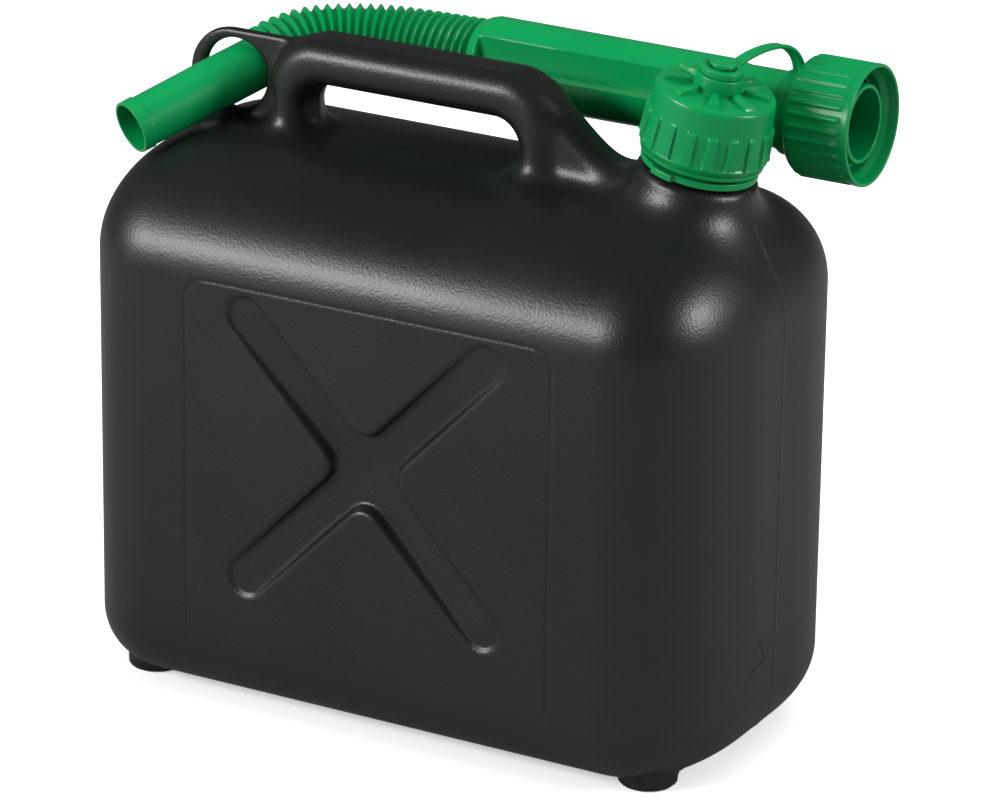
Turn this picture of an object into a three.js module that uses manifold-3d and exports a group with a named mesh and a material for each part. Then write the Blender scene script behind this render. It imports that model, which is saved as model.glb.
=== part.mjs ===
// A five litre fuel can: blow-moulded black body, green screw cap and a flexible green pouring spout
// that is stored behind the handle with its tip through a ring.
// Millimetres, +Z up, +X towards the neck, +Y towards the stored spout.
import * as THREE from 'three';
import { mergeVertices } from 'three/addons/utils/BufferGeometryUtils.js';
import Module from 'manifold-3d';

const wasm = await Module();
wasm.setup();

// ---- driving dimensions ------------------------------------------------------------------------

const gap = 0.3;                 // between pieces that rest on each other
const tiny = 0.5;                // how far joined solids reach into each other

// can body
const bodyLength = 265;
const bodyWidth = 143;
const bodyHeight = 204;
const planRadius = 44;           // upright corners
const baseRadius = 22;           // bottom edge
const shoulderHeight = 40;       // the top edge's round, upward
const shoulderEnds = 40;         // the same round, along X
const shoulderSides = 60;        // and along Y
const wall = 2;

// feet
const footRadius = 11;
const footHeight = 3.3;
const footInsetX = 27.5;         // from the end of the body to the foot's middle
const footInsetY = 26.5;         // from the side of the body to the foot's middle

// shallow cross on both broad sides
const crossArmWidth = 16;
const crossHalfX = 46;           // middle of an arm's round end, from the cross's centre
const crossHalfZ = 50;
const crossDepth = 2.2;
const crossCentreZ = 103;

// handle, drawn in the XZ plane
const handlePlay = 5.7;          // from the bellows' side to the handle's upright leg
const handleRise = 37.3;         // above the body's top
const handleDepth = 25;          // along Y
const handleRound = 6.8;
const gripThickness = 17.3;
const legThickness = 15;
const slotLength = 89.5;
const slotRadius = 10;
const slotSink = 1.2;            // how far the slot's lower edge lies under the can's top
const legLength = 40;            // from the slot to where the long leg meets the shoulder

// ring plate that holds the stored tip
const plateThickness = 4;
const plateInset = 17;           // from the end of the body
const plateRim = 5.9;            // beside the hole
const plateCrown = 3.4;          // above the hole
const holeLift = 7;              // from the body's top to the lowest part of the stored tip
const holePlay = 4;              // round the spout's tip

// neck: its own frame has the seat plane of the neck ring at t = 0 and leans towards +X
const neckTilt = THREE.MathUtils.degToRad(12);
const neckInset = 36;            // from the end of the body to the middle of the seat
const neckRise = 13.6;           // from the body's top to the middle of the seat
const neckBore = 15.2;           // radius
const neckWall = 2;
const threadHeight = 1.3;
const threadPitch = 4;
const threadRootHalf = 0.95;     // half width of a thread at its root
const threadCrestHalf = 0.45;
const threadClearance = 0.4;
const neckThreadStart = 9;       // height of the first turn above the seat
const neckThreadLead = 4.2;      // plain neck above the last turn
const bossDrop = 1.4;            // the boss's top lies this far under the ring's seat
const bossShoulder = 4.6;        // how far the boss reaches out from the neck
const bossSpread = 12.2;         // how much wider its foot is
const bossDepth = 21;

// neck ring
const ringHeight = 2.5;
const ringWidth = 4;
const tabTurn = 79;              // degrees from -X, so that the tab faces the front

// cap
const capBottom = 5.6;           // rim above the seat
const capHeight = 24.8;
const capWall = 2.3;             // at the rim
const capTaper = 1.2;            // less radius at the top
const capTopThickness = 1.6;
const capEdgeRound = 1.6;
const capBars = 18;
const barHeight = 0.75;
const hubRadius = 8.8;
const hubHeight = 6.2;
const pushTravel = 1.2;          // child-resistant shell pressed down onto its teeth
const toothHeight = 1.2;
const insertWall = 1.2;
const insertTopThickness = 1.6;
const sealThickness = 1.5;
const sealLift = 0.5;            // between the seal and the neck's rim
const shellClearance = 0.4;      // between the insert and the shell
const teeth = 8;

// tether
const eyeThickness = 1.8;
const eyeRadius = 8.1;
const pegRadius = 2.9;
const pegPlay = 1.4;             // between the peg and the eye's hole
const pegHeadRadius = 4.9;
const eyeGap = 0.6;              // above and below the eye
const pegHeadThickness = 1.5;
const strapWidth = 5;
const strapThickness = 1.7;
const tetherRingWidth = 6;

// spout
const spoutY = 45;
const spoutRise = 23.7;          // from the body's top to the tube's axis
const tubeStart = -17.5;         // where the rigid tube meets the bellows
const tubeRadius = 15.8;
const tubeBore = 12.3;
const tubeNeckRadius = 14.2;     // narrower part that carries the tether's ring and the nut
const beadHeight = 0.7;          // keeps the tether's ring next to the nut
const panelDistance = 13.8;      // flat side panel from the tube's axis
const panelStart = 4.5;          // from the tube's start
const panelStop = 34.4;          // from the panel's end to the nut
const panelTilt = THREE.MathUtils.degToRad(20);
const nutInset = 16.1;           // from the end of the body to the nut's back
const nutLength = 26.6;
const nutChamfer = 2.6;
const nutWall = 2.9;             // outside the thread
const nutRibs = 30;
const ribHeight = 0.7;
const nutBackWall = 3.5;
const flangeThickness = 2.3;
const plugInset = 3.3;           // plug end from the nut's mouth
const plugPlay = 0.6;            // inside the neck
const bellowsCrests = 23;
const bellowsRadiusTube = 14;
const bellowsFlare = 3.2;        // crest outside the tip's own radius
const bellowsFold = 2.3;         // crest to valley
const bellowsWall = 1;
const tipRadius = 9.6;
const tipWall = 1.5;
const tipLength = 48;            // from the ring plate to the open end
const tipTailPlay = 2.2;         // keeps the bellows clear of the ring plate
const tipCollar = 2.8;           // outside the tip's own radius
const tipDirection = new THREE.Vector3(0.444, 0.847, 0.293).normalize();

// ---- values worked out from them ---------------------------------------------------------------

const bellowsRadiusTip = tipRadius + bellowsFlare;
const plateLeft = plateInset - bodyLength / 2;
const holeRadius = tipRadius + holePlay;
const holeX = plateLeft + holeRadius + plateRim;
const handleLeft = holeX + bellowsRadiusTip + handlePlay;
const handleTop = bodyHeight + handleRise;
const slotLeft = handleLeft + legThickness;
const slotRight = slotLeft + slotLength;
const legReach = slotRight + legLength;
const holeZ = bodyHeight + holeLift + tipRadius;
const plateTop = holeZ + holeRadius + plateCrown;
const neckSeat = new THREE.Vector3(bodyLength / 2 - neckInset, 0, bodyHeight + neckRise);
const spoutZ = bodyHeight + spoutRise;
const nutBack = bodyLength / 2 - nutInset;
const tipCollarRadius = tipRadius + tipCollar;
const tipTail = bellowsRadiusTip + tipTailPlay;       // from the ring plate to the bellows
const neckRoot = neckBore + neckWall;
const neckCrest = neckRoot + threadHeight;
const threadMinor = neckRoot + threadClearance;       // crest radius of a thread inside a cap or nut
const threadMajor = neckCrest + threadClearance;      // its root radius
const insertOuter = threadMajor + insertWall;
const shellInner = insertOuter + shellClearance;
const capBottomRadius = shellInner + capWall;
const capTopRadius = capBottomRadius - capTaper;
const ringOuter = neckRoot + gap + ringWidth;
const bossTopRadius = neckRoot + bossShoulder;
const bossFootRadius = bossTopRadius + bossSpread;
const nutRadius = threadMajor + nutWall;
const plugRadius = neckBore - plugPlay;
const capTop = capBottom + capHeight;
const insertTop = capTop - capTopThickness - gap - pushTravel - toothHeight;
const sealTop = insertTop - insertTopThickness - gap;
const neckHeight = sealTop - sealThickness - sealLift;
const neckThreadTurns = (neckHeight - neckThreadStart - neckThreadLead) / threadPitch;
const hubTop = capTop + hubHeight;
const eyeBottom = hubTop + eyeGap;
const eyeTop = eyeBottom + eyeThickness;
const pegHeadBottom = eyeTop + eyeGap;
const nutMouth = nutBack + nutLength;
const slotTop = handleTop - gripThickness;
const slotBottom = bodyHeight - slotSink;
const tipMiddle = new THREE.Vector3(holeX, 0, holeZ);
const panelEnd = nutBack - panelStop;
const threadOpposite = threadPitch / 2;               // a mating thread runs half a pitch away

const neckMatrix = new THREE.Matrix4().makeRotationY(neckTilt).setPosition(neckSeat);
const tubeMatrix = new THREE.Matrix4().makeRotationY(Math.PI / 2)
  .setPosition(0, spoutY, spoutZ);
const tipMatrix = new THREE.Matrix4().makeRotationFromQuaternion(
  new THREE.Quaternion().setFromUnitVectors(new THREE.Vector3(0, 0, 1), tipDirection),
).setPosition(tipMiddle);

// ---- solids ------------------------------------------------------------------------------------

function solid(geometry) {
  const bare = geometry.clone();
  bare.deleteAttribute('normal');
  bare.deleteAttribute('uv');
  const merged = mergeVertices(bare, 1e-5);
  return new wasm.Manifold(new wasm.Mesh({
    numProp: 3,
    vertProperties: new Float32Array(merged.attributes.position.array),
    triVerts: new Uint32Array(merged.index.array),
  }));
}

function geometryOf(manifold) {
  const mesh = manifold.getMesh();
  const geometry = new THREE.BufferGeometry();
  geometry.setAttribute('position', new THREE.BufferAttribute(mesh.vertProperties, 3));
  geometry.setIndex(new THREE.BufferAttribute(mesh.triVerts, 1));
  geometry.computeVertexNormals();
  return geometry;
}

function joined(first, ...others) {
  return others.reduce((sum, other) => sum.add(other), first);
}

// A turned solid about +Z from [radius, height] pairs that start and end on the axis or close up.
function turned(pairs, segments = 36, matrix = null) {
  const points = pairs.map(([r, h]) => new THREE.Vector2(r, h));
  const upward = THREE.ShapeUtils.area(points) > 0;
  const geometry = new THREE.LatheGeometry(upward ? points : points.reverse(), segments);
  geometry.rotateX(Math.PI / 2);
  if (matrix) geometry.applyMatrix4(matrix);
  return solid(geometry);
}

// A ring or sleeve about +Z, closed by repeating its first point.
function sleeve(pairs, segments = 36, matrix = null) {
  return turned([...pairs, pairs[0]], segments, matrix);
}

function box(sizeX, sizeY, sizeZ, x, y, z) {
  return solid(new THREE.BoxGeometry(sizeX, sizeY, sizeZ).translate(x, y, z));
}

// A closed list of points without the repeats that joined arcs leave.
function withoutRepeats(points) {
  return points.filter((point, i) => point.distanceTo(points[(i + 1) % points.length]) > 1e-3);
}

// An XZ outline carried along Y, centred on Y = 0.
function upright(outline, depth, options = {}) {
  const { shape: edge, holes } = outline.extractPoints(options.curveSegments ?? 4);
  const shape = new THREE.Shape(withoutRepeats(edge));
  shape.holes = holes.map((hole) => new THREE.Path(withoutRepeats(hole)));
  const geometry = new THREE.ExtrudeGeometry(shape, { depth, bevelEnabled: false, ...options });
  geometry.translate(0, 0, -depth / 2);
  geometry.rotateX(Math.PI / 2);
  return solid(geometry);
}

// A helical ridge about +Z. Its ends run out into the wall it stands on.
function threadRidge(rootRadius, crestRadius, start, turns, segmentsPerTurn = 20) {
  const steps = Math.round(turns * segmentsPerTurn);
  const into = Math.sign(rootRadius - crestRadius) * tiny;
  const runOut = segmentsPerTurn / 5;
  const positions = [];
  for (let i = 0; i <= steps; i += 1) {
    const angle = (i / segmentsPerTurn) * Math.PI * 2;
    const middle = start + (i / segmentsPerTurn) * threadPitch;
    const full = Math.min(1, i / runOut, (steps - i) / runOut);
    const crest = rootRadius + (crestRadius - rootRadius) * Math.max(full, 0.05);
    const section = [
      [rootRadius + into, middle - threadRootHalf],
      [crest, middle - threadCrestHalf],
      [crest, middle + threadCrestHalf],
      [rootRadius + into, middle + threadRootHalf],
    ];
    for (const [r, h] of section) positions.push(r * Math.cos(angle), r * Math.sin(angle), h);
  }
  const index = [];
  for (let i = 0; i < steps; i += 1) {
    for (let k = 0; k < 4; k += 1) {
      const a = i * 4 + k;
      const b = i * 4 + ((k + 1) % 4);
      index.push(a, a + 4, b, b, a + 4, b + 4);
    }
  }
  const last = steps * 4;
  index.push(0, 1, 2, 0, 2, 3, last, last + 2, last + 1, last, last + 3, last + 2);
  const inward = crestRadius < rootRadius;
  const outward = inward ? index.reverse() : index;
  const geometry = new THREE.BufferGeometry();
  geometry.setAttribute('position', new THREE.Float32BufferAttribute(positions, 3));
  geometry.setIndex(outward);
  return solid(geometry);
}

// ---- can body ----------------------------------------------------------------------------------

// A box with round upright corners and round top and bottom edges, `inset` inside the outer skin.
// Each profile step is [inset along X, inset along Y, height].
function canProfile(inset) {
  const baseR = baseRadius - inset;
  const rise = shoulderHeight - inset;
  const profile = [];
  const stepsBase = 4;
  const stepsTop = 7;
  for (let k = 0; k <= stepsBase; k += 1) {
    const a = (k / stepsBase) * Math.PI / 2;
    const edge = baseR * (1 - Math.sin(a));
    profile.push([edge, edge, inset + baseR * (1 - Math.cos(a))]);
  }
  for (let k = 0; k <= stepsTop; k += 1) {
    const a = (k / stepsTop) * Math.PI / 2;
    profile.push([
      (shoulderEnds - inset) * (1 - Math.cos(a)),
      (shoulderSides - inset) * (1 - Math.cos(a)),
      bodyHeight - inset - rise + rise * Math.sin(a),
    ]);
  }
  return profile;
}

function canShape(inset) {
  const profile = canProfile(inset);
  const rings = [[0, 0, inset], ...profile, [0, 0, bodyHeight - inset]];
  const cornerSteps = 6;
  const segments = 4 * (cornerSteps + 1);
  const geometry = new THREE.LatheGeometry(rings.map(() => new THREE.Vector2(1, 0)), segments);
  const position = geometry.attributes.position;
  for (let i = 0; i <= segments; i += 1) {
    const corner = Math.floor((i % segments) / (cornerSteps + 1));
    const along = ((i % segments) % (cornerSteps + 1)) / cornerSteps;
    const angle = (corner + along) * Math.PI / 2;
    const sideX = corner === 0 || corner === 3 ? 1 : -1;
    const sideY = corner < 2 ? 1 : -1;
    rings.forEach(([edgeX, edgeY, height], j) => {
      const vertex = i * rings.length + j;
      if (j === 0 || j === rings.length - 1) {
        position.setXYZ(vertex, 0, 0, height);
        return;
      }
      const radiusX = Math.max(planRadius - inset - edgeX, 3);
      const radiusY = Math.max(planRadius - inset - edgeY, 3);
      position.setXYZ(
        vertex,
        sideX * (bodyLength / 2 - inset - edgeX - radiusX) + radiusX * Math.cos(angle),
        sideY * (bodyWidth / 2 - inset - edgeY - radiusY) + radiusY * Math.sin(angle),
        height,
      );
    });
  }
  return solid(geometry);
}

// The handle's side outline: a short upright leg, the grip and a long sloping leg, round a finger slot.
function handleShape() {
  const foot = bodyHeight - shoulderHeight / 2;
  const corner = gripThickness + 1;
  const shape = new THREE.Shape();
  shape.moveTo(handleLeft, foot);
  shape.lineTo(legReach + 6, foot);
  shape.lineTo(legReach + 3, bodyHeight + 8);
  shape.bezierCurveTo(
    legReach - 14, bodyHeight + 14, legReach - 20, bodyHeight + 27, legReach - 32, handleTop - 3,
  );
  shape.quadraticCurveTo(legReach - 38, handleTop, legReach - 48, handleTop);
  shape.lineTo(handleLeft + corner, handleTop);
  shape.absarc(handleLeft + corner, handleTop - corner, corner, Math.PI / 2, Math.PI, false);
  shape.closePath();
  const slot = new THREE.Path();
  slot.moveTo(slotLeft + slotRadius, slotBottom);
  slot.absarc(slotLeft + slotRadius, slotBottom + slotRadius, slotRadius, -Math.PI / 2, Math.PI, true);
  slot.absarc(slotLeft + slotRadius, slotTop - slotRadius, slotRadius, Math.PI, Math.PI / 2, true);
  slot.absarc(slotRight - slotRadius, slotTop - slotRadius, slotRadius, Math.PI / 2, 0, true);
  slot.absarc(slotRight - slotRadius, slotBottom + slotRadius, slotRadius, 0, -Math.PI / 2, true);
  slot.closePath();
  shape.holes.push(slot);
  return shape;
}

function handle(inset) {
  const round = handleRound - inset;
  return upright(handleShape(), handleDepth - 2 * handleRound, {
    bevelEnabled: true,
    bevelThickness: round,
    bevelSize: round,
    bevelOffset: -round - inset,
    bevelSegments: 3,
  });
}

function ringPlate() {
  const shape = new THREE.Shape();
  const corner = 18;
  const foot = bodyHeight - shoulderHeight / 2;
  shape.moveTo(plateLeft, foot);
  shape.lineTo(slotLeft - 4, foot);
  shape.lineTo(slotLeft - 4, plateTop);
  shape.lineTo(plateLeft + corner, plateTop);
  shape.absarc(plateLeft + corner, plateTop - corner, corner, Math.PI / 2, Math.PI, false);
  shape.closePath();
  const hole = new THREE.Path();
  hole.absarc(holeX, holeZ, holeRadius, 0, Math.PI * 2, true);
  shape.holes.push(hole);
  return upright(shape, plateThickness, { curveSegments: 8 });
}

function boss(inset) {
  const top = -bossDrop - inset;
  const narrow = bossTopRadius - inset;
  const round = 2.5;
  const spread = bossFootRadius - bossTopRadius;
  const pairs = [[0, top], [narrow - round, top], [narrow - round * 0.3, top - round * 0.3]];
  const steps = 5;
  for (let k = 0; k <= steps; k += 1) {
    const share = k / steps;
    pairs.push([narrow + spread * share ** 1.5, top - round - (bossDepth - round) * share]);
  }
  pairs.push([0, top - bossDepth]);
  return turned(pairs, 30, neckMatrix);
}

function neckTube() {
  return turned([
    [0, -bossDrop - tiny], [neckRoot, -bossDrop - tiny], [neckRoot, neckHeight], [0, neckHeight],
  ], 36, neckMatrix);
}

function neckThread() {
  return threadRidge(neckRoot, neckCrest, neckThreadStart, neckThreadTurns).transform(neckMatrix.elements);
}

function neckBoreCut() {
  return turned([[0, -bossDepth], [neckBore, -bossDepth], [neckBore, neckHeight + 1], [0, neckHeight + 1]],
    36, neckMatrix);
}

function feet() {
  const x = bodyLength / 2 - footInsetX;
  const y = bodyWidth / 2 - footInsetY;
  const round = 2;
  const into = baseRadius / 2;
  const pads = [];
  for (const sx of [-1, 1]) {
    for (const sy of [-1, 1]) {
      pads.push(turned([
        [0, -footHeight], [footRadius - round, -footHeight], [footRadius - 0.6, -footHeight + 0.6],
        [footRadius, -footHeight + round], [footRadius, into], [0, into],
      ], 20).translate(sx * x, sy * y, 0));
    }
  }
  return joined(...pads);
}

// Both arms of both crosses, as bars with round ends that reach `depth` into the broad sides.
function crosses(depth, width) {
  const length = Math.hypot(crossHalfX, crossHalfZ);
  const lean = THREE.MathUtils.radToDeg(Math.atan2(crossHalfZ, crossHalfX));
  const half = width / 2;
  const shape = new THREE.Shape();
  shape.absarc(length, 0, half, -Math.PI / 2, Math.PI / 2, false);
  shape.absarc(-length, 0, half, Math.PI / 2, Math.PI * 1.5, false);
  shape.closePath();
  const bar = upright(shape, depth * 2, { curveSegments: 6 });
  const bars = [];
  for (const side of [-1, 1]) {
    for (const direction of [-1, 1]) {
      bars.push(bar.rotate(0, direction * lean, 0).translate(0, side * bodyWidth / 2, crossCentreZ));
    }
  }
  return joined(...bars);
}

function canBody() {
  const skin = joined(canShape(0), handle(0), ringPlate(), boss(0), neckTube(), neckThread(), feet())
    .subtract(crosses(crossDepth, crossArmWidth));
  const inside = joined(canShape(wall), handle(wall), boss(wall), neckBoreCut())
    .subtract(crosses(crossDepth + wall, crossArmWidth + 2 * wall));
  return skin.subtract(inside);
}

// ---- cap, ring and tether ----------------------------------------------------------------------

function neckRing() {
  const inner = neckRoot + gap;
  const ring = sleeve([
    [inner, gap], [ringOuter, gap], [ringOuter, gap + ringHeight - 0.5],
    [ringOuter - 0.5, gap + ringHeight], [inner, gap + ringHeight],
  ]);
  const tab = box(3.2, 7.5, ringHeight + 1.2, -ringOuter - 0.6, 0, gap + (ringHeight + 1.2) / 2)
    .rotate(0, 0, tabTurn);
  return ring.add(tab).transform(neckMatrix.elements);
}

// Outer radius of the cap's skirt at a height above the seat.
function capRadiusAt(t) {
  return capBottomRadius + (capTopRadius - capBottomRadius) * ((t - capBottom) / capHeight);
}

function barOutline(count, inner, outer, share) {
  const shape = new THREE.Shape();
  const step = (Math.PI * 2) / count;
  for (let i = 0; i < count; i += 1) {
    const middle = i * step;
    const corners = [
      [-share * 0.62, inner], [-share * 0.42, outer], [share * 0.42, outer], [share * 0.62, inner],
    ];
    corners.forEach(([offset, radius], k) => {
      const angle = middle + offset * step;
      const x = radius * Math.cos(angle);
      const y = radius * Math.sin(angle);
      if (i === 0 && k === 0) shape.moveTo(x, y);
      else shape.lineTo(x, y);
    });
  }
  shape.closePath();
  return shape;
}

function gripBars(count, inner, outer, share, bottom, top) {
  const geometry = new THREE.ExtrudeGeometry(barOutline(count, inner, outer, share),
    { depth: top - bottom, bevelEnabled: false });
  return solid(geometry.translate(0, 0, bottom));
}

function capOuter() {
  const barTop = capBottom + capHeight * 0.62;
  const rimTop = capBottom + 2.2;
  const skin = turned([
    [0, capBottom], [capBottomRadius + barHeight, capBottom], [capBottomRadius + barHeight, rimTop],
    [capRadiusAt(rimTop + 0.4), rimTop + 0.4],
    [capRadiusAt(capTop - capEdgeRound), capTop - capEdgeRound],
    [capTopRadius - capEdgeRound * 0.3, capTop - capEdgeRound * 0.3],
    [capTopRadius - capEdgeRound, capTop], [0, capTop],
  ], 36);
  const bars = gripBars(capBars, capTopRadius - 2, capBottomRadius + barHeight, 0.5, rimTop, barTop)
    .intersect(turned([
      [0, rimTop], [capRadiusAt(rimTop) + barHeight, rimTop], [capRadiusAt(barTop) + barHeight, barTop - 1],
      [capRadiusAt(barTop) - tiny, barTop], [0, barTop],
    ], 36));
  const wedges = [];
  for (let i = 0; i < teeth; i += 1) wedges.push(topWedge().rotate(0, 0, (360 / teeth) * (i + 0.5)));
  const innerTop = capTop - capTopThickness;
  const hollow = turned([
    [0, capBottom - 1], [shellInner, capBottom - 1], [shellInner, capTop - 6],
    [Math.min(shellInner, capTopRadius - 1), innerTop], [0, innerTop],
  ], 36);
  const hub = turned([
    [0, capTop - tiny], [hubRadius + 0.4, capTop - tiny], [hubRadius, capTop + 1],
    [hubRadius, hubTop - 0.8], [hubRadius - 0.8, hubTop], [0, hubTop],
  ], 24);
  const peg = turned([
    [0, hubTop - tiny], [pegRadius, hubTop - tiny], [pegRadius, pegHeadBottom - 0.4],
    [pegHeadRadius, pegHeadBottom], [pegHeadRadius, pegHeadBottom + 0.6],
    [pegHeadRadius - 0.9, pegHeadBottom + pegHeadThickness], [0, pegHeadBottom + pegHeadThickness],
  ], 20);
  const inner = [];
  for (let i = 0; i < teeth; i += 1) inner.push(ratchetTooth(innerTop, -1).rotate(0, 0, (360 / teeth) * i));
  return joined(skin, bars, hub, peg, ...wedges).subtract(hollow).add(joined(...inner))
    .transform(neckMatrix.elements);
}

// A raised wedge on the cap's top, narrow at the hub and wide at the rim.
function topWedge() {
  const shape = new THREE.Shape();
  shape.moveTo(hubRadius + 1.8, -0.9);
  shape.lineTo(capTopRadius - 2.6, -2.4);
  shape.lineTo(capTopRadius - 2.6, 2.4);
  shape.lineTo(hubRadius + 1.8, 0.9);
  shape.closePath();
  return solid(new THREE.ExtrudeGeometry(shape, { depth: 1.3 + tiny, bevelEnabled: false })
    .translate(0, 0, capTop - tiny));
}

// A driving tooth under the shell (facing down) or on the insert (facing up).
function ratchetTooth(base, facing) {
  const length = 6;
  const width = 2.4;
  const middle = insertOuter - length / 2 - 1.2;
  const height = toothHeight + tiny;
  return box(length, width, height, middle, 0, base + facing * (toothHeight - tiny) / 2);
}

function capInner() {
  const body = turned([
    [0, capBottom + 0.6], [insertOuter - 0.3, capBottom + 0.6], [insertOuter, capBottom + 1],
    [insertOuter, insertTop - 0.8], [insertOuter - 0.8, insertTop], [0, insertTop],
  ]);
  const under = insertTop - insertTopThickness;
  const hollow = turned([[0, capBottom], [threadMajor, capBottom], [threadMajor, under], [0, under]]);
  const ridge = threadRidge(threadMajor, threadMinor, neckThreadStart + threadOpposite, 1.5);
  const half = 180 / teeth;
  const drive = [];
  for (let i = 0; i < teeth; i += 1) {
    drive.push(ratchetTooth(insertTop, 1).rotate(0, 0, (360 / teeth) * i + half));
  }
  return body.subtract(hollow).add(ridge).add(joined(...drive)).transform(neckMatrix.elements);
}

function capSeal() {
  return turned([
    [0, sealTop - sealThickness], [threadMajor - gap, sealTop - sealThickness],
    [threadMajor - gap, sealTop], [0, sealTop],
  ], 32, neckMatrix);
}

const tetherX = nutBack - gap - tetherRingWidth / 2;        // middle of the tether's ring on the tube
const tetherInner = tubeNeckRadius + gap;
const tetherOuter = tetherInner + 1.5;

// The strap is a band bent in an arc from the eye up and over to the ring. Its YZ outline is
// carried along X, and sheared so that it starts over the eye and ends over the ring.
function strap() {
  const eyeMiddle = new THREE.Vector3(0, 0, (eyeBottom + eyeTop) / 2).applyMatrix4(neckMatrix);
  const top = spoutZ + tetherOuter - strapThickness / 2;
  const shear = (tetherX - eyeMiddle.x) / spoutY;
  const middle = new THREE.CatmullRomCurve3([
    new THREE.Vector3((pegRadius + pegPlay + eyeRadius) / 2, eyeMiddle.z - 0.5, 0),
    new THREE.Vector3(eyeRadius + 4, eyeMiddle.z + 1, 0),
    new THREE.Vector3(spoutY * 0.52, eyeMiddle.z + 2, 0),
    new THREE.Vector3(spoutY * 0.8, eyeMiddle.z - 0.4, 0),
    new THREE.Vector3(spoutY * 0.95, eyeMiddle.z - 5.2, 0),
    new THREE.Vector3(spoutY, top, 0),
  ]);
  const steps = 18;
  const upper = [];
  const lower = [];
  for (let i = 0; i <= steps; i += 1) {
    const point = middle.getPointAt(i / steps);
    const tangent = middle.getTangentAt(i / steps);
    const side = new THREE.Vector2(-tangent.y, tangent.x).multiplyScalar(strapThickness / 2);
    upper.push(new THREE.Vector2(point.x + side.x, point.y + side.y));
    lower.push(new THREE.Vector2(point.x - side.x, point.y - side.y));
  }
  const geometry = new THREE.ExtrudeGeometry(new THREE.Shape([...lower, ...upper.reverse()]),
    { depth: strapWidth, bevelEnabled: false });
  const basis = new THREE.Matrix4().makeBasis(
    new THREE.Vector3(shear, 1, 0), new THREE.Vector3(0, 0, 1), new THREE.Vector3(1, 0, 0),
  );
  return solid(geometry.applyMatrix4(basis).translate(tetherX - strapWidth / 2 - shear * spoutY, 0, 0));
}

function capTether() {
  const eye = sleeve([
    [pegRadius + pegPlay, eyeBottom], [eyeRadius, eyeBottom], [eyeRadius, eyeTop],
    [pegRadius + pegPlay, eyeTop],
  ], 24, neckMatrix);
  const ring = sleeve([
    [tetherInner, -tetherRingWidth / 2], [tetherOuter, -tetherRingWidth / 2],
    [tetherOuter, tetherRingWidth / 2], [tetherInner, tetherRingWidth / 2],
  ], 32, new THREE.Matrix4().makeTranslation(tetherX, 0, 0).multiply(tubeMatrix));
  return joined(eye, strap(), ring);
}

// ---- spout -------------------------------------------------------------------------------------

function spoutNut() {
  const rim = nutMouth - 2.4;
  const hole = tubeNeckRadius + gap;
  const skin = turned([
    [0, nutBack], [nutRadius - nutChamfer, nutBack], [nutRadius, nutBack + nutChamfer], [nutRadius, rim],
    [nutRadius + ribHeight, rim + 0.4], [nutRadius + ribHeight, nutMouth - 0.5],
    [nutRadius + ribHeight - 0.5, nutMouth], [0, nutMouth],
  ], 60);
  const ribs = gripBars(nutRibs, nutRadius - 1, nutRadius + ribHeight, 0.5, nutBack + nutChamfer, rim + 0.2);
  const hollow = turned([
    [0, nutBack + nutBackWall], [threadMajor, nutBack + nutBackWall], [threadMajor, nutMouth + 1],
    [0, nutMouth + 1],
  ]);
  const way = turned([[0, nutBack - 1], [hole, nutBack - 1], [hole, nutMouth], [0, nutMouth]]);
  const ridge = threadRidge(threadMajor, threadMinor, nutMouth - 2 - threadPitch * 2, 1.75);
  return joined(skin, ribs).subtract(hollow).subtract(way).add(ridge).transform(tubeMatrix.elements);
}

const flangeBack = nutBack + nutBackWall + gap;
const flangeFront = flangeBack + flangeThickness;
const flangeRadius = threadMinor - gap;
const plugEnd = nutMouth - plugInset;
const plugBore = plugRadius - 1.6;

function spoutSeal() {
  const front = flangeFront + gap;
  return sleeve([
    [plugRadius + gap, front], [flangeRadius, front], [flangeRadius, front + sealThickness],
    [plugRadius + gap, front + sealThickness],
  ], 32, tubeMatrix);
}

function spoutTube() {
  const bead = tetherX - tetherRingWidth / 2 - gap;
  const skin = sleeve([
    [bellowsRadiusTube - bellowsFold - bellowsWall, tubeStart + gap],
    [bellowsRadiusTube - 0.4, tubeStart + gap], [tubeRadius - 0.6, tubeStart + 4],
    [tubeRadius, tubeStart + 6], [tubeRadius - 0.4, panelEnd + 2], [tubeNeckRadius, panelEnd + 10],
    [tubeNeckRadius, bead - 2.4], [tubeNeckRadius + beadHeight, bead - 1.2],
    [tubeNeckRadius + beadHeight, bead], [tubeNeckRadius, bead], [tubeNeckRadius, flangeBack],
    [flangeRadius, flangeBack], [flangeRadius, flangeFront], [plugRadius, flangeFront],
    [plugRadius, plugEnd - 1.5], [plugRadius - 0.5, plugEnd], [plugBore, plugEnd],
    [plugBore, flangeFront], [tubeBore, flangeBack], [tubeBore, tubeStart + 9],
  ], 32);
  const start = tubeStart + panelStart;
  const length = panelEnd - start;
  const deep = 10;
  const panel = box(deep, 40, length, panelDistance + deep / 2, 0, start + length / 2);
  const quarter = 90 - THREE.MathUtils.radToDeg(panelTilt);
  return skin.subtract(panel.rotate(0, 0, -quarter)).subtract(panel.rotate(0, 0, 180 - quarter))
    .transform(tubeMatrix.elements);
}

function bellowsCurve() {
  const start = new THREE.Vector3(0, 0, tipTail).applyMatrix4(tipMatrix);
  const end = new THREE.Vector3(tubeStart, spoutY, spoutZ);
  const reachStart = 24;
  const reachEnd = 44;
  return new THREE.CubicBezierCurve3(
    start,
    start.clone().addScaledVector(tipDirection, reachStart),
    end.clone().add(new THREE.Vector3(-reachEnd, 0, 0)),
    end,
  );
}

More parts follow.
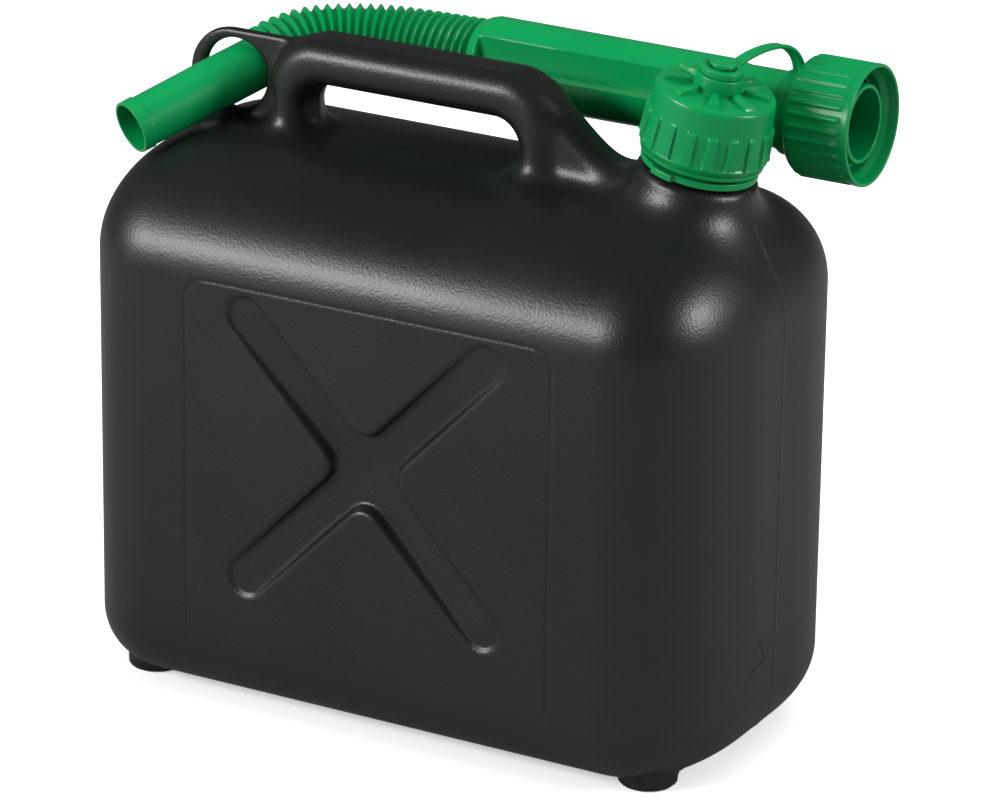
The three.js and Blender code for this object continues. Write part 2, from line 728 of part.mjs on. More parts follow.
// A tube folded on the outside and plain inside, as rings carried along the curve.
function spoutBellows() {
  const curve = bellowsCurve();
  const sides = 16;
  const halves = bellowsCrests * 2;
  const boreRings = 12;
  const length = curve.getLength();
  const positions = [];
  const ringOf = (share, radius, frames, i) => {
    const point = curve.getPointAt(THREE.MathUtils.clamp(share, gap / length, 1 - gap / length));
    for (let k = 0; k < sides; k += 1) {
      const angle = (k / sides) * Math.PI * 2;
      const spoke = frames.normals[i].clone().multiplyScalar(Math.cos(angle) * radius)
        .addScaledVector(frames.binormals[i], Math.sin(angle) * radius);
      positions.push(point.x + spoke.x, point.y + spoke.y, point.z + spoke.z);
    }
  };
  const crestAt = (share) => THREE.MathUtils.lerp(bellowsRadiusTip, bellowsRadiusTube, share);
  const foldFrames = curve.computeFrenetFrames(halves, false);
  for (let i = 0; i <= halves; i += 1) {
    const share = i / halves;
    ringOf(share, crestAt(share) - (i % 2 ? 0 : bellowsFold), foldFrames, i);
  }
  const boreFrames = curve.computeFrenetFrames(boreRings, false);
  for (let i = boreRings; i >= 0; i -= 1) {
    const share = i / boreRings;
    ringOf(share, crestAt(share) - bellowsFold - bellowsWall, boreFrames, i);
  }
  const rings = halves + 1 + boreRings + 1;
  const index = [];
  for (let i = 0; i < rings; i += 1) {
    for (let k = 0; k < sides; k += 1) {
      const a = i * sides + k;
      const b = i * sides + ((k + 1) % sides);
      const c = ((i + 1) % rings) * sides + k;
      const d = ((i + 1) % rings) * sides + ((k + 1) % sides);
      index.push(a, b, c, b, d, c);
    }
  }
  const geometry = new THREE.BufferGeometry();
  geometry.setAttribute('position', new THREE.Float32BufferAttribute(positions, 3));
  geometry.setIndex(index);
  return solid(geometry);
}

function spoutTip() {
  const inner = tipRadius - tipWall;
  const collarLength = 5;
  const lip = 0.5;
  return sleeve([
    [inner, tipTail - gap], [tipCollarRadius - 1.2, tipTail - gap], [tipCollarRadius, tipTail - 1.2],
    [tipCollarRadius, tipTail - 3], [tipRadius + 0.2, tipTail - 5],
    [tipRadius, -tipLength + collarLength + 0.6],
    [tipRadius + lip, -tipLength + collarLength], [tipRadius + lip, -tipLength],
    [tipRadius - 0.6, -tipLength], [tipRadius - 0.6, -tipLength + 9], [inner, -tipLength + 9],
  ], 28, tipMatrix);
}

// ---- the can -----------------------------------------------------------------------------------

const blackPlastic = new THREE.MeshStandardMaterial({ color: 0x17181a, roughness: 0.5, metalness: 0 });
const greenPlastic = new THREE.MeshStandardMaterial({ color: 0x0b9a48, roughness: 0.35, metalness: 0 });
const sealRubber = new THREE.MeshStandardMaterial({ color: 0x2a2a2c, roughness: 0.8, metalness: 0 });

const can = new THREE.Group();
const pieces = [
  ['can_body', canBody, blackPlastic],
  ['neck_ring', neckRing, greenPlastic],
  ['cap_outer', capOuter, greenPlastic],
  ['cap_inner', capInner, greenPlastic],
  ['cap_seal', capSeal, sealRubber],
  ['cap_tether', capTether, greenPlastic],
  ['spout_nut', spoutNut, greenPlastic],
  ['spout_seal', spoutSeal, sealRubber],
  ['spout_tube', spoutTube, greenPlastic],
  ['spout_bellows', spoutBellows, greenPlastic],
  ['spout_tip', spoutTip, greenPlastic],
];
for (const [name, make, material] of pieces) {
  const mesh = new THREE.Mesh(geometryOf(make()), material);
  mesh.name = name;
  can.add(mesh);
}

// The origin is the middle of the whole can's box, on the surface that it stands on.
const bounds = new THREE.Box3().setFromObject(can);
const middle = bounds.getCenter(new THREE.Vector3());
can.position.set(-middle.x, -middle.y, -bounds.min.z);
can.updateMatrixWorld(true);

export default can;
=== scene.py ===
# %% [markdown]
# # A five litre jerry can with its pouring spout
# The can is one black blow moulding: tank, hollow handle, ring plate, feet and neck. A green screw cap
# sits on the tilted neck, and a green flexible spout is stored behind the handle with its tip through the
# ring plate. The CAD frame gives every place; this script makes the smooth surfaces and the finishes.

# %% Frame
import math

import bmesh
import bpy
import numpy as np
from mathutils import Matrix, Vector


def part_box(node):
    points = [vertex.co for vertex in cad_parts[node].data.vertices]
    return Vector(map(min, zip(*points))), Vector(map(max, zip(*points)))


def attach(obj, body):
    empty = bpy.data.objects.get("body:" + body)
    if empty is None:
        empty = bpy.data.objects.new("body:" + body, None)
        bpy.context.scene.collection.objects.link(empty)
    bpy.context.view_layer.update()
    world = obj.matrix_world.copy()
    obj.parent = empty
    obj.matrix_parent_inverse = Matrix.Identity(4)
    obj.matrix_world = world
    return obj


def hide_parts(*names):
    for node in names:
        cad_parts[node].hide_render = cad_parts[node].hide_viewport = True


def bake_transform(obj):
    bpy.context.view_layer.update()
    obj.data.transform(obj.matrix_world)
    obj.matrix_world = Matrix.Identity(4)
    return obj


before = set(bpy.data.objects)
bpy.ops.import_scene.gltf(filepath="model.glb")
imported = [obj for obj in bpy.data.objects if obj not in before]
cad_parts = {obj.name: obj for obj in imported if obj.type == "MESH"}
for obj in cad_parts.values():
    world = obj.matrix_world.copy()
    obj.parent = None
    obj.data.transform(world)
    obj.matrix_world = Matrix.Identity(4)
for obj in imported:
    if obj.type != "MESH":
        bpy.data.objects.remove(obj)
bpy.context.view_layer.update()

# %% [markdown]
# ## Where things are
# All shapes below are drawn in millimetres from the middle of the tank's underside, because that is how a
# mould maker dimensions a can. One matrix carries them into the frame. The tank's length and width come
# from the CAD body's box; the neck and the spout have matrices of their own.

# %% Places
MM = 0.001
FOOT_HEIGHT = 3.3
can_low, can_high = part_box("can_body")
CAN = Matrix.Translation(((can_low.x + can_high.x) / 2, 0, FOOT_HEIGHT * MM)) @ Matrix.Scale(MM, 4)
BODY_LENGTH = (can_high.x - can_low.x) / MM
BODY_WIDTH = (can_high.y - can_low.y) / MM
BODY_HEIGHT = 204.0

NECK_TILT = math.radians(12)
NECK_X = 96.5
NECK_Z = 217.6
NECK = CAN @ Matrix.Translation((NECK_X, 0, NECK_Z)) @ Matrix.Rotation(NECK_TILT, 4, "Y")
SPOUT_AXIS_Y = 45.0
SPOUT_AXIS_Z = 227.7
TUBE = CAN @ Matrix.Translation((0, SPOUT_AXIS_Y, SPOUT_AXIS_Z)) @ Matrix.Rotation(math.pi / 2, 4, "Y")
RING_HOLE = Vector((-96, 0, 220.6))
TIP_DIRECTION = Vector((0.444, 0.847, 0.293)).normalized()
TIP = CAN @ Matrix.Translation(RING_HOLE) @ TIP_DIRECTION.to_track_quat("Z", "Y").to_matrix().to_4x4()
print(f"tank {BODY_LENGTH:.0f} x {BODY_WIDTH:.0f} x {BODY_HEIGHT:.0f} mm")

# %% [markdown]
# ## Camera
# A long lens from a little over two metres, turned 29 degrees round the can and 21 degrees above it. The
# camera leans by less than a degree. It is made first, so that everything else can be judged through it.

# %% Camera
CAMERA_TURN = math.radians(28.853)
CAMERA_RISE = math.radians(20.918)
CAMERA_ROLL = math.radians(0.778)
CAMERA_DISTANCE = 2.068
CAMERA_TARGET = CAN @ Vector((8.75, 14.8, 106.0))


def make_camera():
    data = bpy.data.cameras.new("camera")
    data.sensor_width = 36
    data.lens = 200
    data.clip_end = 50
    camera = bpy.data.objects.new("camera", data)
    bpy.context.scene.collection.objects.link(camera)
    away = Vector((
        math.sin(CAMERA_TURN) * math.cos(CAMERA_RISE),
        -math.cos(CAMERA_TURN) * math.cos(CAMERA_RISE),
        math.sin(CAMERA_RISE),
    ))
    camera.location = CAMERA_TARGET + away * CAMERA_DISTANCE
    look = away.to_track_quat("Z", "Y")
    camera.rotation_mode = "QUATERNION"
    camera.rotation_quaternion = look @ Matrix.Rotation(CAMERA_ROLL, 3, "Z").to_quaternion()
    bpy.context.scene.camera = camera
    return camera


camera = make_camera()
print("camera at", [round(v, 3) for v in camera.location])

# %% [markdown]
# ## From numbers to a mesh
# A few small helpers serve every piece. `mesh_piece` turns points and faces into an object in the frame.
# `filleted` rounds the corners of a section, because a moulded edge always has a small radius that catches
# the light, and `refined` adds points to it where a relief needs them. `turned` spins such a section about
# an axis, and may push the surface in or out on the way, which is how ribs and grip bars are made without
# any boolean. `welded` closes the seams that are left where points fall together.


# %% Mesh helpers
def mesh_piece(name, points, faces, matrix):
    mesh = bpy.data.meshes.new(name)
    mesh.from_pydata([tuple(p) for p in np.asarray(points).tolist()], [], [tuple(f) for f in faces])
    mesh.transform(matrix)
    mesh.update()
    mesh.polygons.foreach_set("use_smooth", [True] * len(mesh.polygons))
    piece = bpy.data.objects.new(name, mesh)
    bpy.context.scene.collection.objects.link(piece)
    return piece


def filleted(corners, steps=5):
    """Corners are (r, h, radius); each one becomes an arc of that radius."""
    points = []
    for i, (r, h, radius) in enumerate(corners):
        here = Vector((r, h))
        if radius <= 0:
            points.append((r, h))
            continue
        before = Vector(corners[i - 1][:2]) - here
        after = Vector(corners[(i + 1) % len(corners)][:2]) - here
        half = before.angle(after) / 2
        reach = min(radius / math.tan(half), before.length * 0.49, after.length * 0.49)
        start = here + before.normalized() * reach
        end = here + after.normalized() * reach
        for k in range(steps + 1):
            t = k / steps
            point = start * (1 - t) ** 2 + here * 2 * t * (1 - t) + end * t ** 2
            points.append((point.x, point.y))
    return points


def refined(points, longest):
    """Adds points so that no step is longer than `longest`."""
    result = []
    for i, point in enumerate(points):
        a = Vector(point)
        b = Vector(points[(i + 1) % len(points)])
        pieces = max(1, math.ceil((b - a).length / longest))
        result += [tuple(a.lerp(b, k / pieces)) for k in range(pieces)]
    return result


def ring_faces(rings, around, closed):
    """Quads between neighbouring rings of points, and from the last ring to the first if closed."""
    last = rings if closed else rings - 1
    i, k = np.meshgrid(np.arange(last), np.arange(around), indexing="ij")
    i2 = (i + 1) % rings
    k2 = (k + 1) % around
    quads = np.stack([i * around + k, i * around + k2, i2 * around + k2, i2 * around + k], -1)
    return quads.reshape(-1, 4).tolist()


def welded(piece, distance=1e-6):
    """Merges repeated points, turns all faces outwards and shades them smoothly."""
    mesh = bmesh.new()
    mesh.from_mesh(piece.data)
    bmesh.ops.remove_doubles(mesh, verts=mesh.verts, dist=distance)
    bmesh.ops.dissolve_degenerate(mesh, edges=mesh.edges, dist=distance)
    bmesh.ops.recalc_face_normals(mesh, faces=mesh.faces)
    mesh.to_mesh(piece.data)
    mesh.free()
    piece.data.polygons.foreach_set("use_smooth", [True] * len(piece.data.polygons))
    return piece


def turned(name, section, matrix, around, shape=None, sharp_degrees=40):
    """Spins a closed (r, h) section; `shape` may move each point by its angle."""
    section = np.array(section, float)
    angle = np.linspace(0, 2 * math.pi, around, endpoint=False)
    r = np.repeat(section[:, :1], around, 1)
    h = np.repeat(section[:, 1:], around, 1)
    if shape:
        r, h = shape(r, h, np.repeat(angle[None, :], len(section), 0))
    points = np.stack([r * np.cos(angle), r * np.sin(angle), h], -1).reshape(-1, 3)
    piece = welded(mesh_piece(name, points, ring_faces(len(section), around, True), matrix))
    piece.data.set_sharp_from_angle(angle=math.radians(sharp_degrees))
    print(name, len(piece.data.polygons), "faces")
    return piece


# %% [markdown]
# ## The blow moulded can
# Blow moulding stretches hot plastic against a mould, so every wall runs into the next in a soft curve.
# Such a form is hard to build from patches. Here it is written as one formula that is negative inside the
# plastic and positive outside. Shapes are united with a soft minimum, which leaves a fillet of a chosen
# size, and a relief is pressed in by adding to the formula. A surface net then turns the formula into
# quads.

# %% Formula helpers
FAR = 1e3


def soft_union(a, b, size):
    """The smaller of two distances, with a fillet of about this size where they meet."""
    overlap = np.maximum(size - np.abs(a - b), 0) / size
    return np.minimum(a, b) - overlap * overlap * size / 4


def round_corner(du, dv, radius):
    """Joins two distances at a convex edge of this radius; both are measured from its centre."""
    return np.hypot(np.maximum(du, 0), np.maximum(dv, 0)) + np.minimum(np.maximum(du, dv), 0) - radius


def rounded_box_2d(u, v, u_min, u_max, v_min, v_max, radius):
    du = np.abs(u - (u_min + u_max) / 2) - (u_max - u_min) / 2 + radius
    dv = np.abs(v - (v_min + v_max) / 2) - (v_max - v_min) / 2 + radius
    return round_corner(du, dv, radius)


def thick_plate(outline, across, half, radius):
    """An outline's distance carried across the plate, with its edges rounded."""
    return round_corner(outline + radius, np.abs(across) - half + radius, radius)


def smooth_step(value):
    t = np.clip(value, 0, 1)
    return t * t * (3 - 2 * t)


# %% [markdown]
# The tank is a box whose plan has full, soft corners. Towards the top the plan shrinks along an ellipse:
# the shoulder is wide across the can and shorter at the ends. `u`, `v` and `w` say how far a point has
# come through the rounded zone in each direction, so that one smooth formula covers sides, corners and
# top.

# %% Tank
BASE_RADIUS = 22.0
SHOULDER_HEIGHT = 40.0
SHOULDER_ENDS = 40.0
SHOULDER_SIDES = 60.0
CORNER_POWER = 2.25
BASE_ZONE = 60.0
LEAST = 1e-6


def tank(x, y, z):
    u = np.maximum(np.abs(x) - BODY_LENGTH / 2 + SHOULDER_ENDS, 0) / SHOULDER_ENDS
    v = np.maximum(np.abs(y) - BODY_WIDTH / 2 + SHOULDER_SIDES, 0) / SHOULDER_SIDES
    w = np.maximum(z - BODY_HEIGHT + SHOULDER_HEIGHT, 0) / SHOULDER_HEIGHT
    plan = np.maximum((u ** CORNER_POWER + v ** CORNER_POWER) ** (1 / CORNER_POWER), LEAST)
    reach = np.hypot(plan, w)
    rest = CORNER_POWER - 1
    plan_slope = np.hypot(u ** rest / SHOULDER_ENDS, v ** rest / SHOULDER_SIDES) * plan ** -rest
    slope = np.maximum(np.hypot(plan * plan_slope, w / SHOULDER_HEIGHT) / reach, LEAST)
    value = np.maximum((reach - 1) / slope, -SHOULDER_ENDS)
    edge = round_corner(value + BASE_RADIUS, BASE_RADIUS - z, BASE_RADIUS)
    return np.where(z < BASE_ZONE, edge, value)


# %% [markdown]
# Both broad sides carry a cross that stiffens them. It is deepest in the middle and runs out towards the
# ends of its arms, and its walls are steep. A fine groove frames the panel round it and fades out near the
# bottom. Where the two mould halves met, a thin ridge runs all the way round the can.

# %% Reliefs
CROSS_MIDDLE_Z = 104.0
CROSS_HALF_X = 49.5
CROSS_HALF_Z = 51.0
CROSS_ARM_RADIUS = 8.3
CROSS_DEPTH_MIDDLE = 5.0
CROSS_DEPTH_END = 1.3
CROSS_WALL = 1.9
CROSS_CORNER = 10.0
PANEL = (-75.0, 76.5, 20.0, 165.6)
PANEL_FADE = 8.0
PANEL_RADIUS = 8.0
GROOVE_DEPTH = 0.32
GROOVE_WIDTH = 0.55
SEAM_HEIGHT = 0.2
SEAM_WIDTH = 0.45
SIDE_ZONE = 9.0
SIDE_FADE = 2.0


def arm_distance(x, z, end_x, end_z):
    """Distance to a straight arm with round ends through the middle of the cross."""
    length = math.hypot(end_x, end_z)
    along = (x * end_x + z * end_z) / length
    across = (x * end_z - z * end_x) / length
    return np.hypot(across, np.maximum(np.abs(along) - length, 0)) - CROSS_ARM_RADIUS


def side_relief(x, z):
    zc = z - CROSS_MIDDLE_Z
    rising = arm_distance(x, zc, CROSS_HALF_X, CROSS_HALF_Z)
    falling = arm_distance(x, zc, CROSS_HALF_X, -CROSS_HALF_Z)
    arms = soft_union(rising, falling, CROSS_CORNER)
    reach = np.hypot(x, zc) / math.hypot(CROSS_HALF_X, CROSS_HALF_Z)
    depth = CROSS_DEPTH_END + (CROSS_DEPTH_MIDDLE - CROSS_DEPTH_END) * np.clip(1 - reach, 0, 1)
    cross = depth * smooth_step(-arms / CROSS_WALL)
    frame_line = np.abs(rounded_box_2d(x, z, *PANEL, PANEL_RADIUS))
    shown = smooth_step((z - PANEL[2]) / PANEL_FADE)
    return cross + GROOVE_DEPTH * shown * np.exp(-((frame_line / GROOVE_WIDTH) ** 2))


def pressed_tank(x, y, z):
    on_side = smooth_step((np.abs(y) - BODY_WIDTH / 2 + SIDE_ZONE) / SIDE_FADE)
    return tank(x, y, z) + side_relief(x, z) * on_side


# %% [markdown]
# The handle is a tube round the finger slot. On the neck's side a thinner gusset carries it down to the
# shoulder, so a shallow valley shows between the two. A flat plate with a hole stands on the other side.

# %% Handle, plate and boss
HANDLE_HALF = 12.5
HANDLE_ROUND = 8.2
HANDLE_LEFT = -77.5
HANDLE_RIGHT = 42.0
HANDLE_TOP = 241.3
HANDLE_CORNER = 21.0
ROOT_Z = BODY_HEIGHT - 60
SLOT = (-62.5, 27.0, 150.0, 224.0)
SLOT_RADIUS = 10.0
GUSSET_HALF = 9.0
GUSSET_ROUND = 6.5
GUSSET_FOOT_X = 67.0
GUSSET_SET_BACK = 3.0
GUSSET_FILLET = 4.0
PLATE_HALF = 2.0
PLATE_LEFT = -115.5
PLATE_RIGHT = -66.0
PLATE_TOP = 237.6
PLATE_CORNER = 18.0
PLATE_HOLE = 13.6
PLATE_EDGE = 1.2
BOSS_RADIUS = 21.8
BOSS_TOP = -1.4
BOSS_EDGE = 2.5
BOSS_DEPTH = 45.0
NECK_BORE = 15.2
BORE_DEPTH = 17.0
FOOT_X = BODY_LENGTH / 2 - 27.5
FOOT_Y = BODY_WIDTH / 2 - 26.5
FOOT_RADIUS = 11.0
FOOT_MIDDLE = 8.0
FOOT_EDGE = 1.8


def bezier(points, steps):
    """Points of a cubic curve, without its last one."""
    p0, p1, p2, p3 = [np.array(p, float) for p in points]
    t = np.arange(steps)[:, None] / steps
    return (1 - t) ** 3 * p0 + 3 * t * (1 - t) ** 2 * p1 + 3 * t * t * (1 - t) * p2 + t ** 3 * p3


def gusset_outline():
    """The gusset's side view: a hollow slope from the shoulder up to the handle, closed inside the grip."""
    foot = GUSSET_FOOT_X
    lower = BODY_HEIGHT - 20
    upper_end = (foot - 33, HANDLE_TOP - 4.5)
    slope = bezier([
        (foot + 3, BODY_HEIGHT + 7), (foot - 14, BODY_HEIGHT + 13), (foot - 21, BODY_HEIGHT + 26), upper_end,
    ], 40)
    inside_grip = [upper_end, (SLOT[1], HANDLE_TOP - 8), (SLOT[1], lower)]
    return np.vstack([[(foot + 6, lower)], slope, inside_grip])


def polygon_distance(x, z, outline):
    """Signed distance to a closed outline, negative inside."""
    best = np.full(x.shape, FAR ** 2)
    inside = np.zeros(x.shape, bool)
    for (ax, az), (bx, bz) in zip(outline, np.roll(outline, -1, 0)):
        ex, ez = bx - ax, bz - az
        t = np.clip(((x - ax) * ex + (z - az) * ez) / max(ex * ex + ez * ez, 1e-12), 0, 1)
        best = np.minimum(best, (x - ax - t * ex) ** 2 + (z - az - t * ez) ** 2)
        if az != bz:
            spans = (az > z) != (bz > z)
            inside ^= spans & (x < (z - az) * ex / ez + ax)
    return np.where(inside, -1, 1) * np.sqrt(best)


GUSSET = gusset_outline()


def slot_distance(x, z):
    return rounded_box_2d(x, z, *SLOT, SLOT_RADIUS)


def handle(x, y, z):
    outer = rounded_box_2d(x, z, HANDLE_LEFT, HANDLE_RIGHT, ROOT_Z, HANDLE_TOP, HANDLE_CORNER)
    ring = np.maximum(outer, -slot_distance(x, z))
    grip = thick_plate(ring, y, HANDLE_HALF, HANDLE_ROUND)
    web = np.maximum(polygon_distance(x, z, GUSSET), GUSSET_SET_BACK - slot_distance(x, z))
    return soft_union(grip, thick_plate(web, y, GUSSET_HALF, GUSSET_ROUND), GUSSET_FILLET)


def ring_plate(x, y, z):
    """Round at its free upper corner, square where it runs into the handle."""
    free = rounded_box_2d(x, z, PLATE_LEFT, PLATE_RIGHT, ROOT_Z, PLATE_TOP, PLATE_CORNER)
    square = rounded_box_2d(x, z, PLATE_LEFT + 20, PLATE_RIGHT + 4, ROOT_Z, PLATE_TOP, PLATE_EDGE)
    hole = np.hypot(x - RING_HOLE.x, z - RING_HOLE.z) - PLATE_HOLE
    return thick_plate(np.maximum(np.minimum(free, square), -hole), y, PLATE_HALF, PLATE_EDGE)


def neck_frame(x, y, z):
    """Distance from the neck's axis, and height along it."""
    dx = x - NECK_X
    dz = z - NECK_Z
    along = dx * math.sin(NECK_TILT) + dz * math.cos(NECK_TILT)
    side = dx * math.cos(NECK_TILT) - dz * math.sin(NECK_TILT)
    return np.hypot(side, y), along


def boss(x, y, z):
    radial, along = neck_frame(x, y, z)
    du = radial - BOSS_RADIUS + BOSS_EDGE
    dv = np.maximum(along - BOSS_TOP, -BOSS_DEPTH - along) + BOSS_EDGE
    return round_corner(du, dv, BOSS_EDGE)


def foot(x, y, z):
    du = np.hypot(np.abs(x) - FOOT_X, np.abs(y) - FOOT_Y) - FOOT_RADIUS + FOOT_EDGE
    dv = np.abs(z - FOOT_MIDDLE) - FOOT_MIDDLE - FOOT_HEIGHT + FOOT_EDGE
    return round_corner(du, dv, FOOT_EDGE)


# %% [markdown]
# The whole formula joins them. The upper pieces are only worked out near the top and the feet only near
# the bottom, because most of the can is plain tank. The seam ridge is added last, so it runs over
# everything.

# %% The can's formula
FOOT_ZONE = 12.0
NECK_ZONE = 150.0
NECK_SIDE = 40.0
TOP_ZONE = 178.0
TOP_HALF = 30.0
TOP_END = 85.0
HANDLE_FILLET = 10.0
PLATE_FILLET = 5.0
BOSS_FILLET = 17.0
FOOT_FILLET = 2.0


def can_field(x, y, z):
    value = pressed_tank(x, y, z)
    low = z < FOOT_ZONE
    if low.any():
        value[low] = soft_union(value[low], foot(x[low], y[low], z[low]), FOOT_FILLET)
    near_neck = (z > NECK_ZONE) & (x > NECK_SIDE)
    if near_neck.any():
        swelling = boss(x[near_neck], y[near_neck], z[near_neck])
        value[near_neck] = soft_union(value[near_neck], swelling, BOSS_FILLET)
    top = (z > TOP_ZONE) & (np.abs(y) < TOP_HALF) & (x < TOP_END)
    if top.any():
        at = (x[top], y[top], z[top])
        value[top] = soft_union(value[top], handle(*at), HANDLE_FILLET)
        value[top] = soft_union(value[top], ring_plate(*at), PLATE_FILLET)
    value = value - SEAM_HEIGHT * np.exp(-((y / SEAM_WIDTH) ** 2))
    if near_neck.any():
        radial, along = neck_frame(x[near_neck], y[near_neck], z[near_neck])
        bore = np.maximum(radial - NECK_BORE, -BORE_DEPTH - along)
        value[near_neck] = np.maximum(value[near_neck], -bore)
    return value


# %% [markdown]
# A surface net puts one point in every grid cell that the surface crosses, and joins the points of
# neighbouring cells with quads. Each point is then slid along the formula's slope until it lies on the
# surface.


# %% Surface net
def spaced(*stretches):
    """Grid planes: (start, end, step) stretches, joined end to end."""
    planes = []
    for start, end, step in stretches:
        count = max(1, round((end - start) / step))
        planes += [start + (end - start) * k / count for k in range(count)]
    planes.append(stretches[-1][1])
    return np.array(planes)


def mirrored(planes):
    """The same planes on both sides of zero."""
    return np.concatenate([-planes[:0:-1], planes])


def net_points(axes, value, cells):
    """The mean of the places where the surface crosses each cell's twelve edges."""
    total = np.zeros((len(cells[0]), 3))
    hits = np.zeros(len(cells[0]))
    for axis in range(3):
        others = [a for a in range(3) if a != axis]
        for corner in range(4):
            near = [0, 0, 0]
            near[others[0]] = corner % 2
            near[others[1]] = corner // 2
            far = list(near)
            far[axis] = 1
            a = value[tuple(c + s for c, s in zip(cells, near))]
            b = value[tuple(c + s for c, s in zip(cells, far))]
            crossed = (a < 0) != (b < 0)
            t = np.where(crossed, a / np.where(crossed, a - b, 1), 0)
            point = [axes[n][cells[n] + near[n]] for n in range(3)]
            point[axis] = axes[axis][cells[axis]] * (1 - t) + axes[axis][cells[axis] + 1] * t
            total += crossed[:, None] * np.stack(point, 1)
            hits += crossed
    return total / hits[:, None]


def net_faces(inside, index):
    """One quad for every grid edge that crosses the surface, wound to face outwards."""
    faces = []
    for axis in range(3):
        one, two = (axis + 1) % 3, (axis + 2) % 3
        moved = np.moveaxis(inside, (axis, one, two), (0, 1, 2))
        table = np.moveaxis(index, (axis, one, two), (0, 1, 2))
        a = moved[:-1, 1:-1, 1:-1]
        b = moved[1:, 1:-1, 1:-1]
        i, j, k = np.nonzero(a != b)
        quad = np.stack([table[i, j, k], table[i, j + 1, k], table[i, j + 1, k + 1], table[i, j, k + 1]], 1)
        inward = ~a[i, j, k]
        quad[inward] = quad[inward][:, ::-1]
        faces.append(quad)
    return np.vstack(faces)


def slope_of(field, points, step=0.02):
    slopes = []
    for axis in range(3):
        ahead = points.copy()
        behind = points.copy()
        ahead[:, axis] += step
        behind[:, axis] -= step
        slopes.append((field(*ahead.T) - field(*behind.T)) / (2 * step))
    return np.stack(slopes, 1)


def settled(points, field, rounds=3, most=1.0):
    """Newton steps along the slope, none of them longer than `most`."""
    for _ in range(rounds):
        slope = slope_of(field, points)
        steep = np.maximum((slope * slope).sum(1), 0.05)
        move = (field(*points.T) / steep)[:, None] * slope
        length = np.maximum(np.linalg.norm(move, axis=1), 1e-9)
        points = points - move * np.minimum(1, most / length)[:, None]
    return points


def surface_net(axes, field):
    yy, zz = np.meshgrid(axes[1], axes[2], indexing="ij")
    value = np.stack([field(np.full(yy.shape, x), yy, zz) for x in axes[0]])
    inside = value < 0
    shape = [n - 1 for n in value.shape]
    count = np.zeros(shape, np.int8)
    for corner in range(8):
        i, j, k = corner & 1, corner >> 1 & 1, corner >> 2
        count += inside[i:i + shape[0], j:j + shape[1], k:k + shape[2]]
    mixed = (count > 0) & (count < 8)
    index = np.full(shape, -1)
    index[mixed] = np.arange(mixed.sum())
    points = net_points(axes, value, np.nonzero(mixed))
    return settled(points, field), net_faces(inside, index)


# %% [markdown]
# The grid below leaves about 140,000 quads. Its steps are 1.1 mm over the cross, half a millimetre at the
# seam and at the groove's straight stretches, and coarser on the plain walls.

# %% Can shell
GRID_X = mirrored(spaced((0, 60, 1.1), (60, 73, 1.6), (73, 78, 0.5), (78, 134, 2.0)))
GRID_Y = mirrored(spaced((0, 1.5, 0.5), (1.5, 14, 1.15), (14, 73, 2.7)))
GRID_Z = spaced(
    (-4.5, 22, 1.7), (22, 43, 1.8), (43, 157, 1.1), (157, 163, 0.8), (163, 168, 0.5), (168, 243, 1.3),
)

points, faces = surface_net((GRID_X, GRID_Y, GRID_Z), can_field)
can_shell = mesh_piece("can_shell", points, faces.tolist(), CAN)
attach(can_shell, "can")
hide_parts("can_body")
print("can_shell", len(faces), "quads")

# %% [markdown]
# ## Neck and threads
# The neck is a plain tube moulded onto the boss. Its thread is a helix, so it can't be turned: a small
# trapezoid is carried round and up instead, and it fades in and out over the first and last sixth of a
# turn, as a moulded thread does. The nut's own thread uses the same function with its crest pointing
# inwards.

# %% Neck
NECK_INNER = NECK_BORE + 0.05
NECK_OUTER = 17.2
NECK_FOOT = -3.0
NECK_TOP = 22.2
THREAD_HEIGHT = 1.3
THREAD_PITCH = 4.0
THREAD_START = 9.0
THREAD_END = 18.0
THREAD_ROOT_HALF = 0.95
THREAD_CREST_HALF = 0.45
THREAD_SUNK = 0.25


def helix_ridge(name, matrix, root, crest, start, turns, steps=72, run_out=12):
    """A thread: root and crest are radii, and the crest may lie inside the root."""
    sunk = THREAD_SUNK if root > crest else -THREAD_SUNK
    count = round(turns * steps)
    points = []
    for k in range(count + 1):
        angle = 2 * math.pi * k / steps
        fade = min(1, k / run_out, (count - k) / run_out)
        top = root + (crest - root) * fade
        height = start + THREAD_PITCH * k / steps
        section = [
            (root + sunk, -THREAD_ROOT_HALF), (root + sunk, THREAD_ROOT_HALF),
            (top, THREAD_CREST_HALF), (top, -THREAD_CREST_HALF),
        ]
        points += [(r * math.cos(angle), r * math.sin(angle), height + h) for r, h in section]
    faces = ring_faces(count + 1, 4, False)
    faces += [[3, 2, 1, 0], [count * 4 + k for k in range(4)]]
    return welded(mesh_piece(name, points, faces, matrix))


neck_section = filleted([
    (NECK_INNER, NECK_FOOT, 0), (NECK_OUTER, NECK_FOOT, 0),
    (NECK_OUTER, NECK_TOP, 0.5), (NECK_INNER, NECK_TOP, 0.4),
])
neck_tube = turned("neck_tube", neck_section, NECK, 128)
neck_turns = (THREAD_END - THREAD_START) / THREAD_PITCH
neck_crest = NECK_OUTER + THREAD_HEIGHT
neck_thread = helix_ridge("neck_thread", NECK, NECK_OUTER, neck_crest, THREAD_START, neck_turns)
for piece in (neck_tube, neck_thread):
    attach(piece, "can")
    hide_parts("can_body")
print(f"neck thread of {neck_turns:.2f} turns")

# %% [markdown]
# The end wall carries a small mark from the mould, two raised strokes less than a third of a millimetre
# high. They are one low rounded bead, laid along two short lines that meet at a corner.

# %% End mark
MARK_CORNERS = [(-14.0, 48.5), (-7.2, 36.4), (-20.0, 35.0)]
MARK_HALF = 0.55
MARK_HEIGHT = 0.28
MARK_SUNK = 0.15
MARK_STEPS = 12


